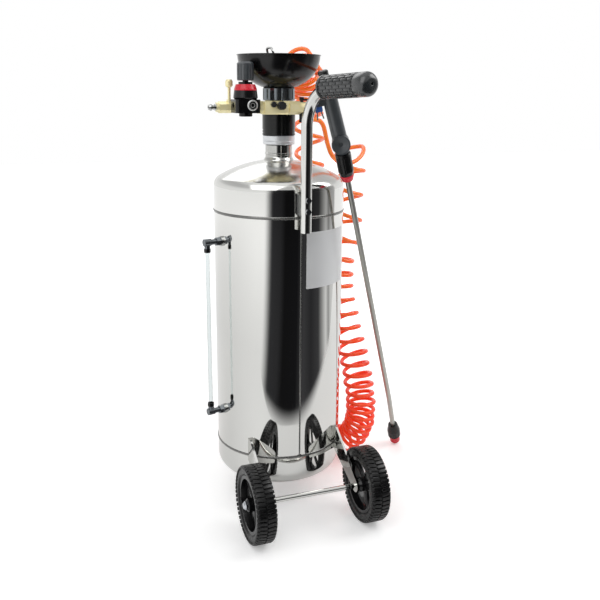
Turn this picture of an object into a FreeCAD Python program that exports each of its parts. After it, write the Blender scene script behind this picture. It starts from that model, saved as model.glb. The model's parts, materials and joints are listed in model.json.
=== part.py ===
import FreeCAD, Part
import math
import os
from FreeCAD import Placement, Rotation, Vector

# Wheeled pressure sprayer cart, in millimetres.
# It is drawn about the tank's own axis, with the floor at z = 0 and the wheels towards -Y,
# and each piece is saved about the middle of the front foot pad, where the cart's origin lies.

# Running and seating clearances
shaft_fit = 0.06
slide_fit = 0.25
seat_gap = 0.3
bolt_fit = 0.1

# Tank
tank_radius = 120.0
tank_wall = 1.5
lower_seam = 113.0
upper_seam = 562.0
seam_width = 5.0
seam_rise = 1.3
upper_flange = 44.0
upper_knuckle = 20.0
upper_rise = 47.0
lower_flange = 33.0
lower_knuckle = 28.0
lower_rise = 38.0

# Neck and valve head, stacked on the tank axis
neck_base_radius = 21.5
neck_radius = 24.3
neck_bore = 20.0
neck_height = 31.0
neck_sunk = 6.0
gasket_thick = 1.5
ring_radius = 28.8
ring_height = 16.5
sleeve_radius = 29.7
sleeve_height = 37.0
sleeve_web = 15.0
throat = 17.7
head_radius = 25.0
head_height = 23.0
collar_radius = 28.8
collar_height = 23.0
collar_flats = 14
dip_radius = 6.0
dip_wall = 1.0
dip_floor_gap = 12.0

# Funnel and filler plug
funnel_rim = 73.5
funnel_depth = 54.0
funnel_wall = 2.0
plug_depth = 20.0
plug_flange = 22.0
plug_flange_thick = 6.0
bail_wire = 2.0
bail_reach = 54.0
bail_half_width = 15.0
bail_corner = 8.0
bail_tilt = 20.0
ear_height = 14.0
ear_half_width = 12.0

# Air line: the regulator and the manifold bar lie in front of the neck
line_offset = 42.5
line_half = 11.0
bar_length = 44.0
bar_chamfer = 2.0
bar_depth = 22.0
regulator_gap = 9.0
regulator_width = 44.0
regulator_depth = 40.0
regulator_height = 22.5
regulator_round = 7.0
port_radius = 9.0
port_rise = 4.5
port_stand = 3.0
port_hole = 4.8
plug_port_shift = 6.0
bonnet_low = 21.0
bonnet_high = 19.5
bonnet_height = 15.0
warning_ring_top = 16.5
warning_ring_height = 10.0
stem_radius = 5.0
knob_radius = 14.2
knob_height = 31.0
knob_ribs = 16
knob_lift = 6.0
needle_knob_radius = 7.0
needle_stem = 2.5

# Inlet branch behind the regulator
nipple_radius = 5.0
tee_length = 32.0
tee_radius = 10.0
tee_start = 84.0
inlet_plug_length = 14.0
inlet_plug_radius = 6.0
relief_shift = 8.0
relief_stem_radius = 2.6
relief_knob_radius = 6.5
relief_travel = 3.0

# Outlet
outlet_length = 37.0
outlet_radius = 10.8
lever_length = 24.0
lever_width = 8.0
elbow_radius = 9.0
elbow_drop = 21.0
elbow_reach = 46.0

# Handle and grip
handle_radius = 9.5
handle_wall = 1.5
handle_offset = 141.0
handle_foot_drop = 66.0  # below the top edge of the tank's straight wall, as are the next drops
handle_bend = 65.0
grip_rise = 171.0  # above that edge
grip_turn = 16.0
grip_tilt = 2.8
grip_start = 45.0
grip_length = 112.0
grip_radius = 18.6
grip_flange = 19.4
grip_waist = 17.2
grip_ribs = 12
grip_bands = 4
bracket_width = 18.0
bracket_low_drop = 38.0
bracket_high_drop = 2.0
bolt_drops = (29.0, 10.0)
bolt_radius = 3.0
bolt_head = 5.2
bolt_head_height = 4.0

# Label, bare
label_start = 4.8
label_end = 53.0
label_low = 435.0
label_high = 536.0
label_thick = 0.4

# Level gauge on the tank's left side
gauge_angle = -77.5
gauge_low = 189.0
gauge_high = 512.0
gauge_stand = 29.0
gauge_tube = 4.0
gauge_tube_wall = 1.0
gauge_elbow = 6.5

# Running gear
wheel_radius = 70.0
wheel_width = 33.0
wheel_track = 214.0
axle_radius = 5.0
axle_back = 186.0
hub_radius = 13.0
rim_outer = 52.0
rim_inner = 46.0
rim_width = 28.0
tread_depth = 3.0
tread_blocks = 38
spoke_count = 5
strap_thick = 4.0
strap_gap = 2.0
strap_height = 36.0
strap_width = 24.0
strap_top = 147.0
cap_radius = 8.0
cap_length = 6.0
foot_reach = 118.0
foot_width = 44.0
foot_length = 40.0
foot_plate = 4.0
pad_thick = 6.0
foot_top = 150.0

# Spray gun and lance: the nozzle stands on the floor and the gun leans beside the handle
gun_side = Vector(-0.934, 0.357, 0)
nozzle_point = Vector(310.3, 80.9, 4.2)
lance_bend = Vector(262.3, 29.0, 135.0)
gun_pivot = Vector(60.3, -143.0, 689.7)
gun_top = Vector(25.4, -152.0, 795.6)
lance_bend_radius = 150.0
lance_radius = 5.0
lance_sunk = 14.0
nozzle_radius = 14.0
nozzle_spigot = 6.0
nozzle_tip_radius = 11.0
nozzle_tip_length = 19.0
nozzle_length = 60.0
gun_radius = 12.6
gun_below = 18.0
gun_boss_radius = 14.6
gun_boss_length = 30.0
gun_cap_radius = 15.7
lance_nut_radius = 13.5
lance_nut_length = 42.0
lance_nut_flutes = 8
lance_ring_length = 11.0
trigger_height = 74.0
trigger_reach = 15.0
trigger_gap = 3.0
trigger_block = 12.5
trigger_block_deep = 11.0
trigger_block_height = 10.0
trigger_block_drop = 4.0
trigger_pin_radius = 2.0
hose_in = Vector(0, 1, 0)
inlet_reach = 15.0
hose_tip_gap = 0.5
inlet_lift = 5.7

# Curly hose: down the right side, round at the floor, up again and over behind the funnel
hose_radius = 4.0
hose_sides = 6
curl_radius = 28.0
curl_count = 60.25
poles_per_curl = 14
curl_zero = Vector(1, 0.25, 0)
# each point of the coil's own line, and the pitch of the curls there
curl_line = [
    (154, 20, 669, 49), (156, 33, 600, 50), (158, 36, 540, 46), (152, 42, 482, 40), (147, 52, 430, 27),
    (147, 54, 390, 31), (158, 44, 320, 29.5), (178, 30, 235, 24), (189, 21, 168, 19.5),
    (193, 19, 118, 13.5), (191, 32, 74, 13), (177, 56, 42, 17), (154, 82, 33, 18.5), (130, 107, 50, 17),
    (116, 121, 92, 15), (113, 125, 160, 18), (113, 125, 300, 26), (110, 129, 560, 36),
    (112, 128, 620, 42), (107, 124, 680, 56), (103, 121, 742, 50), (103, 117, 772, 14),
    (91, 107, 802, 15.5), (61, 80, 832, 17)]
outlet_tail = [
    (53, -42.5, 724.5), (64, -42.5, 722.5), (72, -40, 712), (78, -35, 694), (86, -29, 674), (97, -23, 655),
    (118, -19, 642), (143, -14, 643), (164, -4, 653), (177, 10, 665)]
gun_tail = [(96, 46, 812), (97, 16, 800), (83, -32, 796), (53, -84, 799), (23.8, -112, 800.3)]

# Worked out from the sizes above
upper_base = upper_seam + upper_flange
handle_foot = upper_base - handle_foot_drop
grip_height = upper_base + grip_rise
bracket_low = upper_base - bracket_low_drop
bracket_high = upper_base - bracket_high_drop
bolt_heights = [upper_base - drop for drop in bolt_drops]
tank_top = upper_base + upper_rise
neck_low = tank_top - neck_sunk
neck_top = neck_low + neck_height
ring_low = neck_top + gasket_thick
sleeve_low = ring_low + ring_height
head_low = sleeve_low + sleeve_height
collar_low = head_low + head_height
funnel_low = collar_low + collar_height
funnel_floor = funnel_low + funnel_wall
line_height = head_low + head_height / 2
wheel_centre = wheel_track / 2
wheel_inner = wheel_centre - wheel_width / 2
strap_outer = wheel_inner - strap_gap
regulator_side = -bar_length - regulator_gap
regulator_x = regulator_side - regulator_width / 2
body_top = line_height + 14
body_low = body_top - regulator_height
ring_base = body_top + bonnet_height
knob_low = ring_base + warning_ring_height + knob_lift
pin_height = funnel_floor + plug_flange_thick + ear_height / 2 + 1


def cylinder(radius, length, base, axis=Vector(0, 0, 1)):
    return Part.makeCylinder(radius, length, base, axis)


def tube(outer, inner, low, high, x=0.0, y=0.0):
    """Upright ring between two heights."""
    base = Vector(x, y, low)
    return cylinder(outer, high - low, base).cut(cylinder(inner, high - low, base))


def rz(radius, height):
    return Vector(radius, 0, height)


def turned(pairs, x=0.0, y=0.0):
    """Solid of revolution about an upright axis from (radius, height) pairs."""
    outline = Part.makePolygon([rz(r, z) for r, z in pairs + pairs[:1]])
    solid = Part.Face(outline).revolve(Vector(0, 0, 0), Vector(0, 0, 1), 360)
    return solid.translated(Vector(x, y, 0))


def bow(start, middle, end, steps):
    """(radius, height) pairs along the arc through three of them, in even steps."""
    arc = Part.Arc(rz(*start), rz(*middle), rz(*end)).toShape()
    return [(point.x, point.z) for point in arc.discretize(Number=steps + 1)]


def hexagon(across, length, base, axis):
    """Hexagonal bar with its corners at the given radius."""
    bar = Part.Face(Part.makePolygon([
        Vector(across * math.cos(math.radians(60 * k)), across * math.sin(math.radians(60 * k)), 0)
        for k in range(7)])).extrude(Vector(0, 0, length))
    bar.Placement = Placement(base, Rotation(Vector(0, 0, 1), axis))
    return bar


def fused(shapes):
    return shapes[0].fuse(shapes[1:]).removeSplitter()


def ring_of(shape, count, centre=Vector(0, 0, 0), axis=Vector(0, 0, 1)):
    """Copies of a shape spread evenly about an axis."""
    copies = []
    for k in range(count):
        copy = shape.copy()
        copy.rotate(centre, axis, 360.0 * k / count)
        copies.append(copy)
    return copies


def save(name, shape):
    """Write one piece about the front foot pad's centre."""
    placed = shape.translated(Vector(0, -foot_reach, 0))
    solids = placed.Solids
    if not placed.isValid() or not solids:
        raise ValueError(name + " is not a sound solid")
    kept = solids[0] if len(solids) == 1 else Part.makeCompound(solids)
    kept.exportStep("parts/" + name + ".step")


# Tank

def dish(radius, knuckle, rise, seam, base, up):
    """Solid dished end: a straight flange, a knuckle and a crown that meet smoothly."""
    crown = ((radius - knuckle) ** 2 + rise ** 2 - knuckle ** 2) / (2 * (rise - knuckle))
    lean = math.asin((radius - knuckle) / (crown - knuckle))
    half = (math.pi / 2 - lean) / 2

    def on_knuckle(angle):
        return (radius - knuckle + knuckle * math.cos(angle), base + up * knuckle * math.sin(angle))

    def on_crown(angle):
        return (crown * math.sin(angle), base + up * (rise - crown + crown * math.cos(angle)))
    rounded = bow(on_knuckle(0), on_knuckle(half), on_knuckle(2 * half), 4)
    domed = bow(on_crown(lean), on_crown(lean / 2), on_crown(0), 4)
    return turned([(0, seam), (radius, seam)] + rounded + domed[1:-1] + [(0, base + up * rise)])


def dished_head(knuckle, rise, seam, base, up):
    outer = dish(tank_radius, knuckle, rise, seam, base, up)
    inner = dish(tank_radius - tank_wall, knuckle - tank_wall, rise - tank_wall, seam, base, up)
    return outer.cut(inner)


def seam_band(height):
    """Low weld bead that stands out of the wall."""
    foot = tank_radius - 0.5
    crest = tank_radius + seam_rise
    return turned([(foot, height - seam_width / 2), (tank_radius, height - seam_width / 2),
                   (crest, height - seam_width / 5), (crest, height + seam_width / 5),
                   (tank_radius, height + seam_width / 2), (foot, height + seam_width / 2)])


def tank_shell():
    """Rolled wall with both girth beads and the long seam at the back."""
    wall = tube(tank_radius, tank_radius - tank_wall, lower_seam, upper_seam)
    beads = [seam_band(lower_seam + seam_width / 2), seam_band(upper_seam - seam_width / 2)]
    seam_length = upper_seam - lower_seam - 2 * seam_width
    long_seam = cylinder(1.6, seam_length, Vector(0, -tank_radius + 0.6, lower_seam + seam_width))
    solid = fused([wall] + beads + [long_seam])
    return solid.cut(cylinder(tank_radius - tank_wall, upper_seam, Vector(0, 0, 0)))


def upper_head():
    head = dished_head(upper_knuckle, upper_rise, upper_seam, upper_base, 1)
    return head.cut(cylinder(neck_base_radius, 60, Vector(0, 0, upper_base)))


def lower_head():
    return dished_head(lower_knuckle, lower_rise, lower_seam, lower_seam - lower_flange, -1)


# Neck and valve head

def neck_tube():
    """Ferrule welded into the tank, with a fillet at its foot and a rolled bead above."""
    foot = tank_top - 4
    roll = tank_top + 8
    body = turned([
        (neck_bore, neck_low), (neck_base_radius, neck_low), (neck_base_radius, foot),
        (neck_radius + 3.4, foot), (neck_radius + 3.0, foot + 3.2), (neck_radius + 0.8, foot + 6),
        (neck_radius, foot + 8),
        (neck_radius, roll), (neck_radius + 0.8, roll + 0.8), (neck_radius + 0.8, roll + 3.2),
        (neck_radius, roll + 4), (neck_radius, neck_top), (neck_bore, neck_top)])
    head = dish(tank_radius, upper_knuckle, upper_rise, upper_seam, upper_base, 1)
    return body.cut(head.cut(cylinder(neck_base_radius, 60, Vector(0, 0, tank_top - 40))))


def neck_gasket():
    return tube(neck_radius - 0.5, neck_bore, neck_top, ring_low)


def neck_ring():
    """Bright union ring with a groove and broken edges."""
    low, high = ring_low, sleeve_low
    edge = 1.2
    return turned([
        (neck_bore, low), (ring_radius - edge, low), (ring_radius, low + edge),
        (ring_radius, low + 5), (ring_radius - 0.8, low + 6), (ring_radius, low + 7),
        (ring_radius, high - edge), (ring_radius - edge, high), (neck_bore, high)])


def valve_sleeve():
    """Moulded body: two grooves low down, a web that holds the dip tube, and four filling ports."""
    low, high = sleeve_low, head_low
    groove = 0.9
    grooves = [(radius, low + step) for step, radius in (
        (3, sleeve_radius), (3, sleeve_radius - groove), (5, sleeve_radius - groove), (5, sleeve_radius),
        (8, sleeve_radius), (8, sleeve_radius - groove), (10, sleeve_radius - groove), (10, sleeve_radius))]
    body = turned([(dip_radius, low), (sleeve_radius, low)] + grooves + [
        (sleeve_radius, high), (throat, high), (throat, low + sleeve_web), (dip_radius, low + sleeve_web)])
    port_circle = (dip_radius + throat) / 2
    ports = ring_of(cylinder(3.5, sleeve_web, Vector(port_circle, 0, low)), 4)
    return body.cut(Part.makeCompound(ports))


def dip_tube():
    low = lower_seam - lower_flange - lower_rise + tank_wall + dip_floor_gap
    return tube(dip_radius, dip_radius - dip_wall, low, sleeve_low + sleeve_web + 6)


def head_block():
    """Brass block under the collar, with a flat at the front for the manifold bar."""
    block = tube(head_radius, throat, head_low, collar_low)
    boss = cylinder(nipple_radius + 3, 8, Vector(-head_radius + 4, 0, line_height), Vector(-1, 0, 0))
    return block.fuse(boss).cut(cylinder(throat, head_height, Vector(0, 0, head_low)))


def collar_nut():
    """Nut with broad raised grips between narrow slots."""
    body = turned([
        (throat, collar_low), (collar_radius - 1, collar_low), (collar_radius, collar_low + 1),
        (collar_radius, funnel_low - 2), (collar_radius - 2, funnel_low), (throat, funnel_low)])
    slot = Part.makeBox(3, 3, collar_height - 6, Vector(collar_radius - 1.3, -1.5, collar_low + 3))
    return body.cut(Part.makeCompound(ring_of(slot, collar_flats)))


def funnel():
    """Bowl with a rolled rim, open down to the throat."""
    rim = funnel_low + funnel_depth
    wall = funnel_wall

    def side(inset, floor):
        middle = (funnel_rim * 0.83 - inset, funnel_low + funnel_depth * 0.38)
        return bow((collar_radius - inset, floor), middle, (funnel_rim - inset, rim), 6)
    lip = [(funnel_rim + 1.4, rim), (funnel_rim + 1.4, rim + 1.4), (funnel_rim - wall, rim + 1.4)]
    inner = side(wall, funnel_floor)
    outer = [(throat, funnel_low)] + side(0, funnel_low)
    return turned(outer + lip + inner[::-1] + [(throat, funnel_floor)])


def filler_plug():
    """Screw plug with a flange on the funnel floor and a drilled ear for its bail."""
    seat = funnel_floor + seat_gap
    top = seat + plug_flange_thick
    body = turned([
        (0, seat - plug_depth), (throat - slide_fit - 1, seat - plug_depth),
        (throat - slide_fit, seat - plug_depth + 1), (throat - slide_fit, seat), (plug_flange, seat),
        (plug_flange, top - 1), (plug_flange - 1, top), (0, top)])
    ear = Part.makeBox(10, 2 * ear_half_width, ear_height, Vector(-5, -ear_half_width, top))
    hole = cylinder(bail_wire + shaft_fit, 4 * ear_half_width,
                    Vector(0, -2 * ear_half_width, pin_height), Vector(0, 1, 0))
    return body.fuse(ear).cut(hole)


def swept(edges, radius):
    """Round bar along a path whose first edge is straight."""
    start, second = (vertex.Point for vertex in edges[0].Vertexes)
    circle = Part.Wire(Part.Edge(Part.Circle(start, second - start, radius)))
    return Part.Wire(edges).makePipeShell([circle], True, False)


def rounded_path(points, radius):
    """Straight runs joined by tangent arcs."""
    edges = []
    last = points[0]
    for before, corner, after in zip(points, points[1:], points[2:]):
        to_back = (before - corner).normalize()
        to_front = (after - corner).normalize()
        turn = math.pi - to_back.getAngle(to_front)
        cut_back = radius * math.tan(turn / 2)
        first = corner + to_back * cut_back
        second = corner + to_front * cut_back
        inward = (to_back + to_front).normalize()
        centre = corner + inward * (radius / math.cos(turn / 2))
        middle = centre - inward * radius
        edges.append(Part.LineSegment(last, first).toShape())
        edges.append(Part.Arc(first, middle, second).toShape())
        last = second
    edges.append(Part.LineSegment(last, points[-1]).toShape())
    return edges


def filler_bail():
    """Wire bail whose ends turn into the plug's ear; it leans over in the bowl."""
    inner = ear_half_width - 6
    low, high = pin_height, pin_height + bail_reach
    side = bail_half_width
    points = [Vector(0, -inner, low), Vector(0, -side, low), Vector(0, -side, high),
              Vector(0, side, high), Vector(0, side, low), Vector(0, inner, low)]
    upper = rounded_path(points[1:5], bail_corner)
    wire = swept(upper, bail_wire)
    pins = []
    for sign in (-1, 1):
        length = side - inner + bail_wire
        pins.append(cylinder(bail_wire, length, Vector(0, sign * inner, low), Vector(0, sign, 0)))
    bail = fused([wire] + pins)
    bail.rotate(Vector(0, 0, pin_height), Vector(0, 1, 0), -bail_tilt)
    return bail


# Air line

def manifold_bar():
    """Rectangular brass bar seated against the head block."""
    bar = Part.makeBox(bar_length, bar_depth, 2 * line_half,
                       Vector(-bar_length, -line_offset - bar_depth / 2, line_height - line_half))
    long_edges = [e for e in bar.Edges if abs(e.Vertexes[0].X - e.Vertexes[-1].X) > bar_length / 2]
    bar = bar.makeChamfer(bar_chamfer, long_edges)
    front = -line_offset - bar_depth / 2
    holes = [cylinder(needle_stem + shaft_fit, 12, Vector(x, front, z), Vector(0, 1, 0))
             for x, z in needle_places()]
    start = Vector(-12, -line_offset + 6, line_height)
    spigot = cylinder(line_half - 3, line_offset - 26, start, Vector(0, 1, 0))
    head = cylinder(head_radius, 80, Vector(0, 0, head_low - 20))
    return bar.fuse(spigot).cut(Part.makeCompound([head] + holes))


def needle_places():
    """Where the two needle valves enter the front of the manifold bar."""
    return [(-16.0, line_height + 4), (-29.0, line_height + 6)]


def needle_valve(index, radius, length):
    x, z = needle_places()[index]
    front = -line_offset - bar_depth / 2
    stem = cylinder(needle_stem, length + 10, Vector(x, front - length, z), Vector(0, 1, 0))
    knob = cylinder(radius, length - 2, Vector(x, front - length, z), Vector(0, 1, 0))
    notch = Part.makeBox(1.4, length, 2, Vector(x - 0.7, front - length, z + radius - 1))
    notches = ring_of(notch, 10, Vector(x, 0, z), Vector(0, 1, 0))
    return knob.cut(Part.makeCompound(notches)).fuse(stem)


def regulator_nipple():
    """Short brass union between regulator and bar."""
    start = Vector(-bar_length, -line_offset, line_height)
    hexed = hexagon(line_half - 1, regulator_gap - 3, start, Vector(-1, 0, 0))
    return hexed.fuse(cylinder(line_half - 3, regulator_gap, start, Vector(-1, 0, 0)))


def regulator_body():
    """Rounded block with a boss for each port and a round cap underneath."""
    low = body_low
    block = Part.makeBox(regulator_width, regulator_depth, regulator_height,
                         Vector(regulator_x - regulator_width / 2, -line_offset - regulator_depth / 2, low))
    upright = [e for e in block.Edges if abs(e.Vertexes[0].Z - e.Vertexes[-1].Z) > regulator_height / 2]
    block = block.makeFillet(regulator_round, upright)
    cap = turned([(0, low - 6), (10.5, low - 6), (11.5, low - 5), (11.5, low), (0, low)],
                 regulator_x, -line_offset)
    bores = [cylinder(port_hole, 14, face, out * -1) for face, out in port_faces()]
    return block.fuse(cap).cut(Part.makeCompound(bores))


def port_faces():
    """Centre and outward direction of the open port and of the plugged port."""
    high = line_height + port_rise
    left = Vector(regulator_x - regulator_width / 2, -line_offset, high)
    front = Vector(regulator_x + plug_port_shift, -line_offset - regulator_depth / 2, high)
    return [(left, Vector(-1, 0, 0)), (front, Vector(0, -1, 0))]


def port_rings():
    """Threaded rings on both ports, the front one closed by a socket plug."""
    rings = []
    for centre, out in port_faces():
        ring = cylinder(port_radius, port_stand, centre, out)
        rings.append(ring.cut(cylinder(port_hole, port_stand, centre, out)))
    centre, out = port_faces()[1]
    plug = cylinder(port_hole, port_stand - 0.5, centre, out)
    socket = hexagon(3.0, 2.0, centre + out * (port_stand - 2.0), out)
    rings.append(plug.cut(socket))
    return Part.makeCompound(rings)


def regulator_bonnet():
    """Tapered spring housing with the stem that the knob turns on."""
    housing = turned([
        (0, body_top), (bonnet_low - 2, body_top), (bonnet_low, body_top + 3), (bonnet_high, ring_base),
        (0, ring_base)], regulator_x, -line_offset)
    base = Vector(regulator_x, -line_offset, ring_base)
    waist = cylinder(12.0, knob_low - ring_base - 2, base)
    stem = cylinder(stem_radius, knob_low - ring_base + knob_height / 2, base)
    return fused([housing, waist, stem])


def regulator_ring():
    """Coloured lock ring round the foot of the stem."""
    return turned([
        (12.0, ring_base), (bonnet_high, ring_base), (bonnet_high, ring_base + 2),
        (warning_ring_top, ring_base + warning_ring_height), (12.0, ring_base + warning_ring_height)],
        regulator_x, -line_offset)


def regulator_knob():
    """Ribbed pull-and-turn knob."""
    low, high = knob_low, knob_low + knob_height
    body = turned([
        (0, low), (knob_radius - 1, low), (knob_radius, low + 1), (knob_radius, high - 3),
        (knob_radius - 3, high), (0, high)], regulator_x, -line_offset)
    groove = Part.makeBox(2, 1.6, knob_height - 7,
                          Vector(regulator_x + knob_radius - 0.9, -line_offset - 0.8, low + 2))
    grooves = ring_of(groove, knob_ribs, Vector(regulator_x, -line_offset, 0))
    bore = cylinder(stem_radius + shaft_fit, knob_height / 2 + 1 + seat_gap,
                    Vector(regulator_x, -line_offset, low - 1))
    return body.cut(Part.makeCompound(grooves + [bore]))


def inlet_nipple():
    """Brass pipe from the head block to the tee, with its nut."""
    start = -head_radius - 4
    pipe = cylinder(nipple_radius, tee_start + start, Vector(start, 0, line_height), Vector(-1, 0, 0))
    nut = hexagon(line_half, 12, Vector(start, 0, line_height), Vector(-1, 0, 0))
    return pipe.fuse(nut)


def inlet_tee():
    """Hexagonal tee with a turned collar at each end and a seat on top."""
    start = Vector(-tee_start, 0, line_height)
    out = Vector(-1, 0, 0)
    middle = hexagon(tee_radius, tee_length - 8, start + out * 4, out)
    collar = cylinder(tee_radius - 1.5, tee_length, start, out)
    middle_of_stem = Vector(-tee_start - relief_shift, 0, line_height)
    seat = cylinder(relief_stem_radius + 2.4, 13, middle_of_stem)
    stem_hole = cylinder(relief_stem_radius + shaft_fit, 14, middle_of_stem)
    return fused([middle, collar, seat]).cut(stem_hole)


def inlet_plug():
    """Quick-coupling plug for the compressor's hose."""
    base = Vector(-tee_start - tee_length, 0, line_height)
    profile = [(0, 0), (5.6, 0), (5.6, 3), (4.2, 4), (4.2, 7), (inlet_plug_radius, 8.5),
               (inlet_plug_radius, 10), (4.4, inlet_plug_length), (2.4, inlet_plug_length), (2.4, 3), (0, 3)]
    plug = turned(profile)
    plug.Placement = Placement(base, Rotation(Vector(0, 0, 1), Vector(-1, 0, 0)))
    return plug


def relief_valve():
    """Pull knob and stem of the safety valve."""
    x = -tee_start - relief_shift
    foot = line_height + 4
    knob_base = line_height + 34
    stem = cylinder(relief_stem_radius, knob_base - foot, Vector(x, 0, foot))
    knob = turned([
        (0, knob_base), (4.4, knob_base), (relief_knob_radius, knob_base + 2.5),
        (relief_knob_radius, knob_base + 10), (relief_knob_radius - 2, knob_base + 13),
        (0, knob_base + 13)], x)
    return stem.fuse(knob)


def outlet_hex():
    """Outlet valve body: hexagon, groove and round end, drilled for its lever."""
    base = Vector(0, -line_offset, line_height)
    out = Vector(1, 0, 0)
    slit = cylinder(outlet_radius - 2.5, 2, base, out)
    flats = hexagon(outlet_radius + 0.8, 22, base + out * 2, out)
    end = cylinder(outlet_radius - 0.8, outlet_length - 24, base + out * 24, out)
    body = fused([slit, flats, end])
    hole = cylinder(3.0 + shaft_fit, outlet_radius + 4, Vector(28, -line_offset, line_height + 2))
    return body.cut(hole)


def outlet_lever():
    """Small lever on its stem, along the line when open."""
    top = line_height + outlet_radius + 1.5
    stem = cylinder(3.0, top - line_height, Vector(28, -line_offset, line_height + 3))
    arm = Part.makeBox(lever_length, lever_width, 3, Vector(24, -line_offset - lever_width / 2, top))
    arm = arm.makeFillet(3, [e for e in arm.Edges if abs(e.Vertexes[0].Z - e.Vertexes[-1].Z) > 2])
    nut = hexagon(4.5, 3, Vector(28, -line_offset, top + 3), Vector(0, 0, 1))
    return fused([stem, arm, nut])


def hose_start():
    """Face of the outlet spigot, where the hose is pushed on."""
    return Vector(elbow_reach, -line_offset, line_height - elbow_drop + 1)


def outlet_elbow():
    """Moulded elbow that turns the outlet down and sideways to the hose."""
    x = outlet_length - 4
    mouth = hose_start()
    post = cylinder(elbow_radius, elbow_drop + 4, Vector(x, -line_offset, line_height - elbow_drop - 4))
    spigot = cylinder(hose_radius + 1.6, mouth.x - x, Vector(x, -line_offset, mouth.z), Vector(1, 0, 0))
    plain = outlet_hex()
    return fused([post, spigot]).cut(plain)


# Handle

def grip_direction():
    turn = math.radians(grip_turn)
    climb = math.tan(math.radians(grip_tilt))
    return Vector(math.sin(turn), -math.cos(turn), climb).normalize()


def handle_solid(radius):
    out = grip_direction()
    foot = Vector(0, -handle_offset, handle_foot)
    corner = Vector(0, -handle_offset, grip_height)
    end = corner + out * (grip_start + grip_length - 12)
    return swept(rounded_path([foot, corner, end], handle_bend), radius)


def handle_bolt_holes(radius):
    """Holes from outside the tube to 9 mm inside the tank's wall line."""
    start = -handle_offset - 30
    depth = 9 - tank_radius - start
    return [cylinder(radius, depth, Vector(0, start, z), Vector(0, 1, 0)) for z in bolt_heights]


def handle_tube():
    bar = handle_solid(handle_radius).cut(handle_solid(handle_radius - handle_wall))
    return bar.cut(Part.makeCompound(handle_bolt_holes(bolt_radius + bolt_fit)))


def handle_bracket():
    """Saddle welded to the tank, hollowed to take the handle tube."""
    back = -handle_offset + 2
    block = Part.makeBox(bracket_width, -tank_radius - back + 6, bracket_high - bracket_low,
                         Vector(-bracket_width / 2, back, bracket_low))
    tank = cylinder(tank_radius, tank_top, Vector(0, 0, 0))
    seam = cylinder(3.4, tank_top, Vector(0, -tank_radius + 0.6, 0))
    bar = cylinder(handle_radius, 200, Vector(0, -handle_offset, handle_foot))
    return block.cut(Part.makeCompound([tank, seam, bar] + handle_bolt_holes(bolt_radius)))


def handle_bolts():
    bolts = []
    for z in bolt_heights:
        outside = -handle_offset - handle_radius
        head = hexagon(bolt_head, bolt_head_height, Vector(0, outside + 0.5, z), Vector(0, -1, 0))
        head = head.cut(cylinder(handle_radius, 40, Vector(0, -handle_offset, z - 20)))
        shank = cylinder(bolt_radius, -tank_radius - outside - 2.2, Vector(0, outside, z), Vector(0, 1, 0))
        bolts.append(head.fuse(shank))
    return Part.makeCompound(bolts)


def grip():
    """Rubber grip: flange, rows of raised blocks, and a smooth rounded end with a vent."""
    length = grip_length
    plain = 27.0
    first = 5.0
    rounded = bow((grip_radius, length - 9), (grip_radius - 3, length - 2.4), (grip_radius - 10, length), 3)
    core = turned([(0, 0), (grip_flange, 0), (grip_flange, first - 1), (grip_waist, first),
                   (grip_waist, length - plain), (grip_radius, length - plain)] + rounded + [(0, length)])
    pitch = (length - plain - first - 2) / grip_bands
    width = 2 * math.pi * grip_waist / grip_ribs - 2.6
    blocks = []
    for band in range(grip_bands):
        block = Part.makeBox(grip_radius - grip_waist + 1.2, width, pitch - 2.4,
                             Vector(grip_waist - 1.2, -width / 2, first + 2 + band * pitch))
        row = ring_of(block, grip_ribs)
        blocks += row
    vent = cylinder(2.2, 14, Vector(0, 0, length - 11))
    body = core.fuse(blocks).cut(vent)
    base = Vector(0, -handle_offset, grip_height) + grip_direction() * grip_start
    body.Placement = Placement(base, Rotation(Vector(0, 0, 1), grip_direction()))
    return body.cut(handle_solid(handle_radius))


def label_plate():
    """Bare foil rectangle on the wall."""
    tall = label_high - label_low
    base = Vector(0, 0, label_low)
    sweep = label_end - label_start
    outer = Part.makeCylinder(tank_radius + label_thick, tall, base, Vector(0, 0, 1), sweep)
    inner = cylinder(tank_radius, tall, base)
    plate = outer.cut(inner)
    plate.rotate(Vector(0, 0, 0), Vector(0, 0, 1), label_start - 90)
    return plate


# Level gauge

def gauge_out():
    angle = math.radians(gauge_angle)
    return Vector(math.sin(angle), -math.cos(angle), 0)


def gauge_bosses():
    """Welded sockets, shaped to the wall."""
    out = gauge_out()
    bosses = [cylinder(9.0, 8, out * (tank_radius - 4) + Vector(0, 0, z), out)
              for z in (gauge_low, gauge_high)]
    wall = cylinder(tank_radius, tank_top, Vector(0, 0, 0))
    return Part.makeCompound([boss.cut(wall) for boss in bosses])


def gauge_elbow_at(z, toward):
    """Chromed elbow: hexagon, neck, corner block and the spigot for the tube."""
    out = gauge_out()
    start = out * (tank_radius + 4) + Vector(0, 0, z)
    corner = out * (tank_radius + gauge_stand) + Vector(0, 0, z)
    flats = hexagon(8.0, 8, start, out)
    neck = cylinder(5.0, gauge_stand - 4, start, out)
    end = cylinder(gauge_elbow, 2 * gauge_elbow, corner - out * gauge_elbow, out)
    spigot = cylinder(gauge_tube + 1.2, 11, corner, Vector(0, 0, toward))
    return fused([flats, neck, end, spigot])


def gauge_elbows():
    elbows = [gauge_elbow_at(gauge_low, 1), gauge_elbow_at(gauge_high, -1)]
    corner = gauge_out() * (tank_radius + gauge_stand)
    bore = cylinder(gauge_tube, gauge_high - gauge_low - 10, corner + Vector(0, 0, gauge_low + 5))
    return Part.makeCompound([elbow.cut(bore) for elbow in elbows])


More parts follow.
